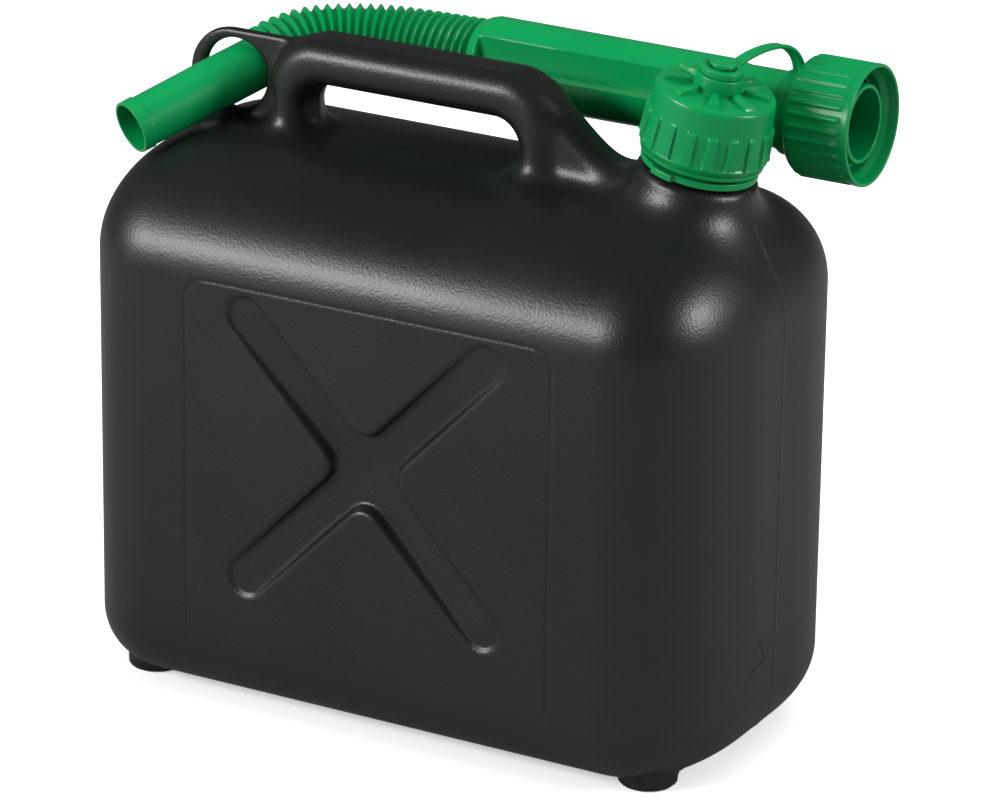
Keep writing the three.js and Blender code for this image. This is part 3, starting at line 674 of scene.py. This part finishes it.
def mark_mesh(around=7):
    ends = [np.array(c) for c in MARK_CORNERS]
    line = [ends[0] + (ends[1] - ends[0]) * k / MARK_STEPS for k in range(MARK_STEPS)]
    line += [ends[1] + (ends[2] - ends[1]) * k / MARK_STEPS for k in range(MARK_STEPS + 1)]
    last = len(line) - 1
    points = []
    for i, (y, z) in enumerate(line):
        along = line[min(i + 1, last)] - line[max(i - 1, 0)]
        side = np.array([-along[1], along[0]]) / np.linalg.norm(along)
        fade = min(1, 0.2 + i / 2, 0.2 + (last - i) / 2)
        for a in [math.pi * k / (around - 1) for k in range(around)]:
            out = BODY_LENGTH / 2 - MARK_SUNK + (MARK_HEIGHT + MARK_SUNK) * math.sin(a) * fade
            across = side * MARK_HALF * math.cos(a) * fade
            points.append((out, y + across[0], z + across[1]))
    faces = ring_faces(len(line), around, False)
    faces += [list(range(around)), list(range(last * around, len(points)))[::-1]]
    return points, faces


end_mark = welded(mesh_piece("end_mark", *mark_mesh(), CAN))
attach(end_mark, "can")
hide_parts("can_body")
print("end mark", len(end_mark.data.polygons), "faces")

# %% [markdown]
# ## The ring under the cap
# A flat green ring lies on the boss round the neck, just under the cap. One side of it swells into a small
# tab. The swelling is a bump in radius over some twenty degrees.

# %% Neck ring
TAB_ANGLE = math.radians(259)
TAB_HALF = 0.19
TAB_EDGE = 0.05
TAB_REACH = 1.8
RING_INNER = 17.5
RING_OUTER = 21.5
RING_BOTTOM = 0.3
RING_TOP = 2.8


def bump(offset, half, edge):
    """1 within half of the middle, falling to 0 over edge."""
    return smooth_step((half + edge - np.abs(offset)) / edge)


def turned_offset(angle, middle):
    """Angle from the middle, between minus and plus half a turn."""
    return (angle - middle + math.pi) % (2 * math.pi) - math.pi


def ring_tab(r, h, angle):
    tab = bump(turned_offset(angle, TAB_ANGLE), TAB_HALF, TAB_EDGE)
    outside = smooth_step((r - RING_OUTER + 1.1) / 0.6)
    return r + TAB_REACH * tab * outside, h


ring_section = refined(filleted([
    (RING_INNER, RING_BOTTOM, 0.2), (RING_OUTER, RING_BOTTOM, 0.3),
    (RING_OUTER, RING_TOP, 0.5), (RING_INNER, RING_TOP, 0.2),
]), 0.8)
neck_ring = turned("neck_ring_moulded", ring_section, NECK, 240, shape=ring_tab)
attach(neck_ring, "can")
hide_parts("neck_ring")

# %% [markdown]
# ## The cap
# The cap is one section spun about the neck's axis. Eighteen grip bars rise from the skirt above the rim,
# and eight ramps lie on the top: narrow and high next to the hub, wide and low outside. Both are pushed
# out of the spun surface by a function of the angle, so the mesh stays one closed skin. A peg with a flat
# head stands on the hub and holds the strap.

# %% Cap
CAP_BOTTOM = 4.2
CAP_TOP = 30.4
SKIRT_BOTTOM = 22.8
SKIRT_TOP = 21.6
RIM_TOP = 8.6
BAR_TOP = 20.8
BAR_HEIGHT = 0.95
BAR_COUNT = 18
BAR_HALF = 1.75
BAR_TAPER = 0.4
BAR_EDGE = 0.45
RAMP_COUNT = 8
RAMP_TURN = math.radians(22.5)
RAMP_HEIGHT = 2.1
RAMP_FALL = 0.8
RAMP_HALF = 0.9
RAMP_SPREAD = 1.3
RAMP_EDGE = 0.35
CAP_INSIDE = 20.5
CAP_CEILING = 28.8
HUB_RADIUS = 8.8
HUB_TOP = 36.6
PEG_RADIUS = 3.8
PEG_HEAD_RADIUS = 4.9
PEG_HEAD_BOTTOM = 39.6
PEG_TOP = 41.1


def repeat_offset(angle, count, turn=0.0):
    """Angle from the nearest of count equal places round the axis."""
    pitch = 2 * math.pi / count
    return (angle - turn + pitch / 2) % pitch - pitch / 2


def cap_relief(r, h, angle):
    along = repeat_offset(angle, BAR_COUNT) * r
    half = BAR_HALF - BAR_TAPER * (h - RIM_TOP) / (BAR_TOP - RIM_TOP)
    on_skirt = (r > SKIRT_TOP - 0.6) & (h > RIM_TOP - 0.1)
    bar = BAR_HEIGHT * bump(along, half, BAR_EDGE) * smooth_step(BAR_TOP - h) * on_skirt
    across = repeat_offset(angle, RAMP_COUNT, RAMP_TURN) * r
    out = np.clip((r - HUB_RADIUS - 0.9) / (SKIRT_TOP - HUB_RADIUS - 3.4), 0, 1)
    inside = smooth_step((r - HUB_RADIUS - 0.5) / 0.5) * smooth_step((SKIRT_TOP - 1.9 - r) / 0.6)
    on_top = (h > CAP_TOP - 0.9) & (h < CAP_TOP + 0.4)
    ramp = (RAMP_HEIGHT - RAMP_FALL * out) * bump(across, RAMP_HALF + RAMP_SPREAD * out, RAMP_EDGE)
    return r + bar, h + ramp * inside * on_top


cap_section = refined(filleted([
    (CAP_INSIDE, CAP_BOTTOM, 0.3), (SKIRT_BOTTOM - 0.4, CAP_BOTTOM, 0.5),
    (SKIRT_BOTTOM - 0.1, CAP_BOTTOM + 1.6, 0.2), (SKIRT_BOTTOM - 0.7, CAP_BOTTOM + 1.9, 0.1),
    (SKIRT_BOTTOM, CAP_BOTTOM + 2.2, 0.1),
    (SKIRT_BOTTOM + 0.8, RIM_TOP - 0.5, 0.8), (SKIRT_BOTTOM + 0.1, RIM_TOP + 0.4, 0.2),
    (SKIRT_TOP + 0.2, CAP_TOP, 2.4), (HUB_RADIUS, CAP_TOP, 0.5),
    (HUB_RADIUS - 0.15, HUB_TOP, 0.9), (PEG_RADIUS, HUB_TOP, 0.2), (PEG_RADIUS, PEG_HEAD_BOTTOM, 0.1),
    (PEG_HEAD_RADIUS, PEG_HEAD_BOTTOM, 0.2), (PEG_HEAD_RADIUS, PEG_TOP, 0.8), (0, PEG_TOP, 0),
    (0, CAP_CEILING, 0), (CAP_INSIDE, CAP_CEILING, 0.8),
]), 0.55)
cap_shell = turned("cap_shell", cap_section, NECK, 360, shape=cap_relief, sharp_degrees=35)
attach(cap_shell, "shell")
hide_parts("cap_outer")

# %% [markdown]
# ## The strap that keeps the cap
# An eye turns freely on the cap's peg, and a ring sits on the spout behind the nut. Between them runs a
# thin strap with a bead along both edges, which lets it bend but not tear. The eye is recessed round the
# peg's head, so the head can sink into it when the cap is pressed down. The strap bends when the cap
# rises; here its pieces are drawn once where they lie and belong to neither body.

# %% Strap
STRAP_WIDTH = 5.0
STRAP_THICK = 1.1
BEAD_RADIUS = 0.85
STRAP_END = 15.2
STRAP_STEPS = 26
RING_X = 113.1
RING_HALF = 3.0
EYE_HEIGHT = 38.0
EYE_BORE = 4.3
EYE_RECESS = 5.2
EYE_RADIUS = 8.1
EYE_BOTTOM = 36.7
EYE_FLOOR = 38.3
EYE_TOP = 39.2


def strap_line():
    """Centres of the strap: it leaves the eye level, arches up and comes down on the ring."""
    eye_x = NECK_X + EYE_HEIGHT * math.sin(NECK_TILT)
    eye_z = NECK_Z + EYE_HEIGHT * math.cos(NECK_TILT)
    start = (EYE_RADIUS - 1.9, eye_z - 0.5)
    summit = (30, eye_z + 1.4)
    end = (SPOUT_AXIS_Y, SPOUT_AXIS_Z + STRAP_END)
    rise = bezier([start, (14, eye_z + 1.7), (22, eye_z + 2.5), summit], STRAP_STEPS)
    fall = bezier([summit, (38, eye_z + 0.3), (44.4, eye_z - 4.5), end], STRAP_STEPS)
    outline = np.vstack([rise, fall, [end]])
    lean = (RING_X - eye_x) / SPOUT_AXIS_Y
    return [Vector((RING_X + lean * (y - SPOUT_AXIS_Y), y, z)) for y, z in outline]


def strap_section(steps=6):
    """The strap across: a thin web with a round bead at either edge."""
    half = STRAP_WIDTH / 2 - BEAD_RADIUS
    arc = [math.pi / 2 - math.pi * k / steps for k in range(steps + 1)]
    right = [(half + BEAD_RADIUS * math.cos(a), BEAD_RADIUS * math.sin(a)) for a in arc]
    inner = STRAP_THICK / 2
    top = [(-half + 0.7, inner), (half - 0.7, inner)]
    left = [(-u, -v) for u, v in right]
    under = [(-u, -v) for u, v in top]
    return top + right + under + left


def strap_mesh():
    centres = strap_line()
    section = strap_section()
    last = len(centres) - 1
    points = []
    for i, centre in enumerate(centres):
        tangent = (centres[min(i + 1, last)] - centres[max(i - 1, 0)]).normalized()
        up = Vector((1, 0, 0)).cross(tangent).normalized()
        points += [centre + Vector((a, 0, 0)) + up * b for a, b in section]
    around = len(section)
    faces = ring_faces(len(centres), around, False)
    return points, faces + [list(range(around))[::-1], list(range(last * around, len(points)))]


eye_section = filleted([
    (EYE_BORE, EYE_BOTTOM, 0.3), (EYE_RADIUS, EYE_BOTTOM, 0.5), (EYE_RADIUS, EYE_TOP, 0.5),
    (EYE_RECESS, EYE_TOP, 0.3), (EYE_RECESS, EYE_FLOOR, 0), (EYE_BORE, EYE_FLOOR, 0.2),
])
ring_band = filleted([
    (14.5, -RING_HALF, 0.3), (16.0, -RING_HALF, 0.5), (16.0, RING_HALF, 0.5), (14.5, RING_HALF, 0.3),
])
strap_eye = turned("strap_eye", eye_section, NECK, 96)
strap_ring = turned("strap_ring", ring_band, TUBE @ Matrix.Translation((0, 0, RING_X)), 128)
strap_band = welded(mesh_piece("strap_band", *strap_mesh(), CAN))
strap_parts = (strap_eye, strap_ring, strap_band)
print("strap", sum(len(p.data.polygons) for p in strap_parts), "faces")


for piece in strap_parts:
    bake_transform(piece)
    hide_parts("cap_tether")

# %% [markdown]
# ## The nut
# Thirty fine ribs run from the rounded back to a plain rim. Inside are a deep recess with a thread that
# fits the can's neck, and a hole at the back through which the spout's tube passes.

# %% Nut
NUT_BACK = 116.4
NUT_MOUTH = 143.0
NUT_RADIUS = 21.9
NUT_HOLE = 14.5
NUT_RECESS = 18.9
NUT_THREAD_CREST = 17.6
NUT_THREAD_TURNS = 1.75
NUT_RIBS = 30
RIB_HEIGHT = 0.6
RIB_HALF = 0.35
RIB_EDGE = 1.0


def nut_ribs(r, h, angle):
    along = repeat_offset(angle, NUT_RIBS) * r
    stretch = smooth_step((h - NUT_BACK - 1.2) / 2.0) * smooth_step((NUT_MOUTH - 3.4 - h) / 0.7)
    outside = (r > NUT_RADIUS - 0.4) | ((h < NUT_BACK + 5.2) & (r > 16.5))
    rib = bump(along, RIB_HALF, RIB_EDGE) * stretch * outside
    return r + RIB_HEIGHT * rib, h


nut_section = refined(filleted([
    (NUT_HOLE, NUT_BACK, 0.4), (NUT_RADIUS, NUT_BACK, 5.0), (NUT_RADIUS, NUT_MOUTH - 2.7, 0.2),
    (NUT_RADIUS + 0.6, NUT_MOUTH - 2.3, 0.2), (NUT_RADIUS + 0.6, NUT_MOUTH, 0.7),
    (21.2, NUT_MOUTH, 0.5), (20.3, NUT_MOUTH - 3.5, 0.6), (NUT_RECESS, NUT_MOUTH - 6, 0.6),
    (NUT_RECESS, NUT_BACK + 3.5, 0.6), (NUT_HOLE, NUT_BACK + 3.5, 0.3),
]), 0.7)
nut_shell = turned("nut_shell", nut_section, TUBE, 480, shape=nut_ribs, sharp_degrees=45)
nut_thread_start = NUT_MOUTH - 15
nut_thread = helix_ridge(
    "nut_thread", TUBE, NUT_RECESS, NUT_THREAD_CREST, nut_thread_start, NUT_THREAD_TURNS,
)
for piece in (nut_shell, nut_thread):
    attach(piece, "nut")
    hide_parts("spout_nut")

# %% [markdown]
# ## The spout's tube
# The tube is round with a long channel pressed into either side, which stiffens it. Each channel has an
# upright flat web: wherever the round skin would stand outside that plane, its radius is cut back to it.
# The cut runs out at the top and stops at a narrow ledge half way down. The tube narrows before the nut,
# carries a bead behind it, and ends in a flange and a plug that fits the neck.

# %% Tube
TUBE_START = -17.5
PANEL_START = TUBE_START + 4.5
PANEL_END = 82.0
WEB_DISTANCE = 10.7
WEB_BORE = 9.5
SKIN_LEAST = 13.2
TUBE_NECK = 14.2
TUBE_INNER = 12.3
BEAD_TOP = 14.9
LEDGE_RISE = math.radians(1.5)
LEDGE_EDGE = math.radians(1.6)
FLANGE_BACK = 120.2
FLANGE_FRONT = 122.5
FLANGE_RADIUS = 17.3
PLUG_RADIUS = 14.6
PLUG_INNER = 13.0
PLUG_END = 139.7


def tube_panels(r, h, angle):
    rise = np.arcsin(-np.cos(angle))
    flat = WEB_DISTANCE / np.maximum(np.cos(rise), 0.3)
    stretch = smooth_step((h - PANEL_START) / 0.5) * smooth_step((PANEL_END - h) / 1.5)
    above = smooth_step((rise - LEDGE_RISE) / LEDGE_EDGE)
    cut = np.maximum(r - flat, 0) * stretch * above * (r > SKIN_LEAST)
    return r - cut, h


tube_section = refined(filleted([
    (10.7, TUBE_START + 0.3, 0.2), (13.6, TUBE_START + 0.3, 0.4), (15.2, TUBE_START + 3.6, 1.2),
    (15.8, TUBE_START + 6, 0.8), (15.4, PANEL_END + 2, 3.0), (TUBE_NECK, PANEL_END + 10, 3.0),
    (TUBE_NECK, 107.4, 0.6), (BEAD_TOP, 108.6, 0.3), (BEAD_TOP, 109.8, 0.3), (TUBE_NECK, 109.8, 0.1),
    (TUBE_NECK, FLANGE_BACK, 0.2), (FLANGE_RADIUS, FLANGE_BACK, 0.4), (FLANGE_RADIUS, FLANGE_FRONT, 0.4),
    (PLUG_RADIUS, FLANGE_FRONT, 0.2), (PLUG_RADIUS, PLUG_END, 0.8), (PLUG_INNER, PLUG_END, 0.4),
    (PLUG_INNER, FLANGE_FRONT, 0.3), (TUBE_INNER, FLANGE_BACK, 0.3), (TUBE_INNER, PANEL_END + 10, 1.0),
    (WEB_BORE, PANEL_END + 4, 1.0), (WEB_BORE, TUBE_START + 3, 1.0),
]), 0.9)
tube_shell = turned("tube_shell", tube_section, TUBE, 240, shape=tube_panels, sharp_degrees=30)
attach(tube_shell, "spout")
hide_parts("spout_tube")

# %% [markdown]
# ## The bellows
# The bellows let the spout bend. Twenty-three folds follow a curve that leaves the tip in the tip's own
# direction and meets the tube straight on. A power of a cosine sets how sharp a fold is against its crest,
# and the crests grow a little towards the tube.

# %% Bellows
TIP_TAIL = 15.0
CREST_COUNT = 23
CREST_AT_TIP = 12.8
CREST_AT_TUBE = 14.0
FOLD_DEPTH = 2.3
FOLD_POWER = 1.3
FOLD_STEPS = 10
BELLOWS_WALL = 1.0
BELLOWS_GAP = 0.3


def bellows_line(steps):
    start = RING_HOLE + TIP_DIRECTION * TIP_TAIL
    end = Vector((TUBE_START, SPOUT_AXIS_Y, SPOUT_AXIS_Z))
    curve = [start, start + TIP_DIRECTION * 24, end - Vector((44, 0, 0)), end]
    dense = np.vstack([bezier(curve, 800), [tuple(end)]])
    length = np.concatenate([[0], np.cumsum(np.linalg.norm(np.diff(dense, axis=0), axis=1))])
    even = np.linspace(BELLOWS_GAP, length[-1] - BELLOWS_GAP, steps + 1)
    places = np.stack([np.interp(even, length, dense[:, a]) for a in range(3)], 1)
    print(f"bellows {length[-1]:.1f} mm along their middle")
    return places, np.gradient(places, axis=0)


def bellows_mesh(around=72):
    steps = CREST_COUNT * FOLD_STEPS
    places, tangents = bellows_line(steps)
    share = np.arange(steps + 1) / steps
    fold = np.abs(np.cos(math.pi * share * CREST_COUNT)) ** FOLD_POWER
    crest = CREST_AT_TIP + (CREST_AT_TUBE - CREST_AT_TIP) * share
    radius = crest - FOLD_DEPTH * fold
    bore = crest - FOLD_DEPTH - BELLOWS_WALL
    tangents /= np.linalg.norm(tangents, axis=1)[:, None]
    side = np.cross(tangents, [0, 0, 1])
    side /= np.linalg.norm(side, axis=1)[:, None]
    up = np.cross(side, tangents)
    angle = np.linspace(0, 2 * math.pi, around, endpoint=False)
    spokes = side[:, None] * np.cos(angle)[:, None] + up[:, None] * np.sin(angle)[:, None]
    outer = places[:, None] + spokes * radius[:, None, None]
    inner = (places[:, None] + spokes * bore[:, None, None])[::-FOLD_STEPS]
    rings = np.concatenate([outer, inner])
    return rings.reshape(-1, 3), ring_faces(len(rings), around, True)


bellows = welded(mesh_piece("bellows", *bellows_mesh(), CAN))
bellows.data.set_sharp_from_angle(angle=math.radians(75))
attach(bellows, "spout")
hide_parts("spout_bellows")
print("bellows", len(bellows.data.polygons), "faces")

# %% [markdown]
# ## The tip
# The tip is a thin tube with a collar at its open end and a step inside it. A short rib runs along it near
# the collar, with a small lug on the opposite side. Its wide tail end carries the bellows.

# %% Tip
TIP_OPEN = -48.0
TIP_RADIUS = 9.7
TIP_BORE = 8.1
TIP_MOUTH = TIP_RADIUS - 0.75
TIP_RIB_ANGLE = math.radians(100)
TIP_RIB_HEIGHT = 0.45
TIP_LUG_HEIGHT = 0.8


def tip_marks(r, h, angle):
    outside = r > TIP_RADIUS - 0.5
    rib_stretch = smooth_step((h - TIP_OPEN - 5.2) / 0.6) * smooth_step((TIP_OPEN + 15 - h) / 6)
    rib = bump(turned_offset(angle, TIP_RIB_ANGLE), 0.05, 0.05) * rib_stretch
    lug_stretch = bump(h - TIP_OPEN - 6.4, 0.6, 0.3)
    lug = bump(turned_offset(angle, TIP_RIB_ANGLE + math.pi), 0.1, 0.03) * lug_stretch
    return r + (TIP_RIB_HEIGHT * rib + TIP_LUG_HEIGHT * lug) * outside, h


tip_section = refined(filleted([
    (TIP_BORE, 14.7, 0.2), (11.2, 14.7, 0.3), (12.4, 13.8, 0.4), (12.4, 12, 0.5), (TIP_RADIUS + 0.2, 10, 0.8),
    (TIP_RADIUS + 0.25, -10, 4), (TIP_RADIUS, TIP_OPEN + 5.4, 0.2), (TIP_RADIUS + 0.5, TIP_OPEN + 5.0, 0.15),
    (TIP_RADIUS + 0.4, TIP_OPEN, 0.3), (TIP_MOUTH, TIP_OPEN, 0.3), (TIP_MOUTH, TIP_OPEN + 9, 0.2),
    (TIP_BORE, TIP_OPEN + 9, 0.2),
]), 0.8)
tip_shell = turned("tip_shell", tip_section, TIP, 160, shape=tip_marks)
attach(tip_shell, "spout")
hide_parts("spout_tip")

# %% [markdown]
# ## Shared effects
# Two effects belong to every plastic here, so each is a node group. `mould_grain` is the fine pebbled
# texture that the mould leaves on the skin. `plastic_variation` gives slow changes of tone and gloss, as
# pigment and handling leave them, and a mask of small scuffs.

# %% Shared node groups
FLOAT = "NodeSocketFloat"
COLOUR = "NodeSocketColor"


def new_group(name, inputs, outputs):
    """An empty group with its sockets: (name, kind, value) going in and (name, kind) coming out."""
    group = bpy.data.node_groups.new(name, "ShaderNodeTree")
    for socket, kind, value in inputs:
        made = group.interface.new_socket(name=socket, in_out="INPUT", socket_type=kind)
        made.default_value = value
    for socket, kind in outputs:
        group.interface.new_socket(name=socket, in_out="OUTPUT", socket_type=kind)
    return group, group.nodes.new("NodeGroupInput"), group.nodes.new("NodeGroupOutput")


def noise(group, place, scale, detail, roughness):
    """A noise texture over the object's own coordinates."""
    node = group.nodes.new("ShaderNodeTexNoise")
    node.inputs["Scale"].default_value = scale
    node.inputs["Detail"].default_value = detail
    node.inputs["Roughness"].default_value = roughness
    group.links.new(place.outputs["Object"], node.inputs["Vector"])
    return node.outputs["Fac"]


def stretched(group, value, low, high):
    """Spreads the stretch from low to high over 0 to 1."""
    node = group.nodes.new("ShaderNodeMapRange")
    node.inputs["From Min"].default_value = low
    node.inputs["From Max"].default_value = high
    group.links.new(value, node.inputs["Value"])
    return node.outputs[0]


def worked(group, operation, first, second):
    """A Math node fed by two sockets."""
    node = group.nodes.new("ShaderNodeMath")
    node.operation = operation
    group.links.new(first, node.inputs[0])
    group.links.new(second, node.inputs[1])
    return node.outputs[0]


def make_grain_group():
    group, start, end = new_group(
        "mould_grain",
        [("Scale", FLOAT, 900.0), ("Pebble", FLOAT, 1.0), ("Ripple", FLOAT, 0.3)],
        [("Height", FLOAT)],
    )
    place = group.nodes.new("ShaderNodeTexCoord")
    pebbles = group.nodes.new("ShaderNodeTexVoronoi")
    pebbles.feature = "SMOOTH_F1"
    group.links.new(place.outputs["Object"], pebbles.inputs["Vector"])
    group.links.new(start.outputs["Scale"], pebbles.inputs["Scale"])
    ripple = noise(group, place, scale=28, detail=3, roughness=0.5)
    pebble_part = worked(group, "MULTIPLY", pebbles.outputs["Distance"], start.outputs["Pebble"])
    ripple_part = worked(group, "MULTIPLY", ripple, start.outputs["Ripple"])
    height = worked(group, "ADD", pebble_part, ripple_part)
    group.links.new(height, end.inputs["Height"])
    return group


def make_variation_group():
    group, start, end = new_group(
        "plastic_variation",
        [("Light", COLOUR, (1, 1, 1, 1)), ("Dark", COLOUR, (0, 0, 0, 1)), ("Gloss", FLOAT, 0.4),
         ("Gloss Change", FLOAT, 0.05), ("Scuffs", FLOAT, 0.1)],
        [("Colour", COLOUR), ("Roughness", FLOAT)],
    )
    place = group.nodes.new("ShaderNodeTexCoord")
    slow = noise(group, place, scale=14, detail=4, roughness=0.55)
    fine = noise(group, place, scale=420, detail=3, roughness=0.6)
    tone = stretched(group, slow, 0.3, 0.7)
    mix = group.nodes.new("ShaderNodeMix")
    mix.data_type = "RGBA"
    group.links.new(tone, mix.inputs["Factor"])
    group.links.new(start.outputs["Dark"], mix.inputs["A"])
    group.links.new(start.outputs["Light"], mix.inputs["B"])
    group.links.new(mix.outputs["Result"], end.inputs["Colour"])
    scuffs = worked(group, "MULTIPLY", stretched(group, fine, 0.62, 0.78), start.outputs["Scuffs"])
    change = worked(group, "MULTIPLY", tone, start.outputs["Gloss Change"])
    rough = worked(group, "ADD", change, start.outputs["Gloss"])
    group.links.new(worked(group, "ADD", rough, scuffs), end.inputs["Roughness"])
    return group


grain_group = make_grain_group()
variation_group = make_variation_group()
print("groups:", grain_group.name, variation_group.name)

# %% [markdown]
# ## Finishes
# Each plastic is one Principled shader. The black is polyethylene with soot in it: it has nearly no colour
# of its own, so what one sees is a broad soft sheen broken up by the grain. The green is smoother and a
# little glossier. The seals are dull rubber. Constants such as the specular level sit on the shader's own
# sockets.


# %% Finishes
def make_plastic(name, light, dark, gloss, change, scuffs, grain, bump_height, specular):
    """`grain` is its scale, pebble and ripple; `bump_height` is in metres."""
    material = bpy.data.materials.new(name)
    material.use_nodes = True
    nodes, links = material.node_tree.nodes, material.node_tree.links
    shader = nodes["Principled BSDF"]
    shader.inputs["Specular IOR Level"].default_value = specular
    variation = nodes.new("ShaderNodeGroup")
    variation.node_tree = variation_group
    values = ((*light, 1), (*dark, 1), gloss, change, scuffs)
    for socket, value in zip(("Light", "Dark", "Gloss", "Gloss Change", "Scuffs"), values):
        variation.inputs[socket].default_value = value
    links.new(variation.outputs["Colour"], shader.inputs["Base Color"])
    links.new(variation.outputs["Roughness"], shader.inputs["Roughness"])
    texture = nodes.new("ShaderNodeGroup")
    texture.node_tree = grain_group
    for socket, value in zip(("Scale", "Pebble", "Ripple"), grain):
        texture.inputs[socket].default_value = value
    bumped = nodes.new("ShaderNodeBump")
    bumped.inputs["Strength"].default_value = 1.0
    bumped.inputs["Distance"].default_value = bump_height
    links.new(texture.outputs["Height"], bumped.inputs["Height"])
    links.new(bumped.outputs["Normal"], shader.inputs["Normal"])
    return material


body_plastic = make_plastic(
    "body_plastic", light=(0.0075, 0.008, 0.0085), dark=(0.0055, 0.0058, 0.0062), gloss=0.36, change=0.06,
    scuffs=0.08, grain=(1100, 1.0, 0.6), bump_height=0.00007, specular=0.5,
)
green_plastic = make_plastic(
    "green_plastic", light=(0.0, 0.25, 0.068), dark=(0.0, 0.215, 0.056), gloss=0.27, change=0.05,
    scuffs=0.06, grain=(700, 0.35, 1.0), bump_height=0.00004, specular=0.3,
)
seal_rubber = make_plastic(
    "seal_rubber", light=(0.028, 0.028, 0.03), dark=(0.02, 0.02, 0.021), gloss=0.7, change=0.08,
    scuffs=0.1, grain=(1500, 1.0, 0.2), bump_height=0.00005, specular=0.4,
)

black_pieces = (can_shell, neck_tube, neck_thread, end_mark)
green_pieces = (neck_ring, cap_shell, *strap_parts, nut_shell, nut_thread, tube_shell, bellows, tip_shell)
cad_finishes = {"cap_inner": green_plastic, "cap_seal": seal_rubber, "spout_seal": seal_rubber}


def finish_with(piece, material):
    piece.data.materials.clear()
    piece.data.materials.append(material)


for piece in black_pieces:
    finish_with(piece, body_plastic)
for piece in green_pieces:
    finish_with(piece, green_plastic)
for node, material in cad_finishes.items():
    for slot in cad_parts[node].material_slots:
        slot.material = material
print("finished", len(black_pieces) + len(green_pieces), "pieces and", len(cad_finishes), "CAD nodes")

# %% [markdown]
# ## Floor, sky and lamps
# A black satin object shows its lamps more than its own colour. One broad soft box above the front left
# draws the bright band along the shoulder and the handle, and a second stands on the right for the end
# face and its corner. Two more light the tops and the back, and glossy rays don't see them. The sky and
# the floor look white, but count as darker in reflections and scattered light, so that the black stays
# black.


# %% Stage
FLOOR_HALF = 6.0
FLOOR_GLOW = 0.45
FLOOR_BOUNCE = (0.3, 0.3, 0.3)
SKY_SEEN = 1.0
SKY_REFLECTED = 0.1
SKY_SCATTERED = 0.42


def make_floor():
    """A sheet of pale paper that throws back less light than it shows to the camera."""
    signs = [(-1, -1), (1, -1), (1, 1), (-1, 1)]
    corners = [(a * FLOOR_HALF, b * FLOOR_HALF, 0) for a, b in signs]
    floor = mesh_piece("floor", corners, [(0, 1, 2, 3)], Matrix.Identity(4))
    material = bpy.data.materials.new("floor_paper")
    material.use_nodes = True
    nodes, links = material.node_tree.nodes, material.node_tree.links
    paper = nodes["Principled BSDF"]
    paper.inputs["Base Color"].default_value = (0.8, 0.8, 0.8, 1)
    paper.inputs["Roughness"].default_value = 0.9
    paper.inputs["Specular IOR Level"].default_value = 0.1
    paper.inputs["Emission Color"].default_value = (1, 1, 1, 1)
    paper.inputs["Emission Strength"].default_value = FLOOR_GLOW
    dim = nodes.new("ShaderNodeBsdfDiffuse")
    dim.inputs["Color"].default_value = (*FLOOR_BOUNCE, 1)
    seen = nodes.new("ShaderNodeLightPath")
    choice = nodes.new("ShaderNodeMixShader")
    links.new(seen.outputs["Is Camera Ray"], choice.inputs["Fac"])
    links.new(dim.outputs[0], choice.inputs[1])
    links.new(paper.outputs[0], choice.inputs[2])
    links.new(choice.outputs[0], nodes["Material Output"].inputs["Surface"])
    finish_with(floor, material)


def make_lamp(name, turn, rise, distance, wide, high, power):
    """A soft box, by its turn from the front (positive to the right) and its rise, both in degrees."""
    data = bpy.data.lights.new(name, "AREA")
    data.shape = "RECTANGLE"
    data.size = wide
    data.size_y = high
    data.energy = power
    lamp = bpy.data.objects.new(name, data)
    bpy.context.scene.collection.objects.link(lamp)
    turn, rise = math.radians(turn), math.radians(rise)
    away = Vector((math.sin(turn) * math.cos(rise), -math.cos(turn) * math.cos(rise), math.sin(rise)))
    lamp.location = CAMERA_TARGET + away * distance
    lamp.rotation_mode = "QUATERNION"
    lamp.rotation_quaternion = away.to_track_quat("Z", "Y")
    return lamp


def make_sky(seen, reflected, scattered):
    """Brightness of the sky for the eye, for glossy reflections and for soft scattered light."""
    world = bpy.data.worlds.new("sky")
    world.use_nodes = True
    bpy.context.scene.world = world
    nodes, links = world.node_tree.nodes, world.node_tree.links
    ray = nodes.new("ShaderNodeLightPath")
    strength = scattered
    for flag, value in (("Is Glossy Ray", reflected), ("Is Camera Ray", seen)):
        choice = nodes.new("ShaderNodeMix")
        links.new(ray.outputs[flag], choice.inputs["Factor"])
        if isinstance(strength, float):
            choice.inputs["A"].default_value = strength
        else:
            links.new(strength, choice.inputs["A"])
        choice.inputs["B"].default_value = value
        strength = choice.outputs["Result"]
    background = nodes["Background"]
    background.inputs["Color"].default_value = (1, 1, 1, 1)
    links.new(strength, background.inputs["Strength"])


make_floor()
make_sky(SKY_SEEN, SKY_REFLECTED, SKY_SCATTERED)
lamps = [
    make_lamp("shoulder_box", turn=-36, rise=25, distance=2.4, wide=1.15, high=0.62, power=56),
    make_lamp("end_box", turn=100, rise=25, distance=2.6, wide=0.55, high=0.8, power=42),
    make_lamp("top_box", turn=-20, rise=80, distance=2.2, wide=1.0, high=0.8, power=14),
    make_lamp("back_box", turn=165, rise=50, distance=2.6, wide=2.2, high=1.2, power=22),
]
for lamp in lamps[2:]:
    lamp.visible_glossy = False
bpy.context.scene.view_settings.view_transform = "Standard"
print("lamps:", [lamp.name for lamp in lamps])
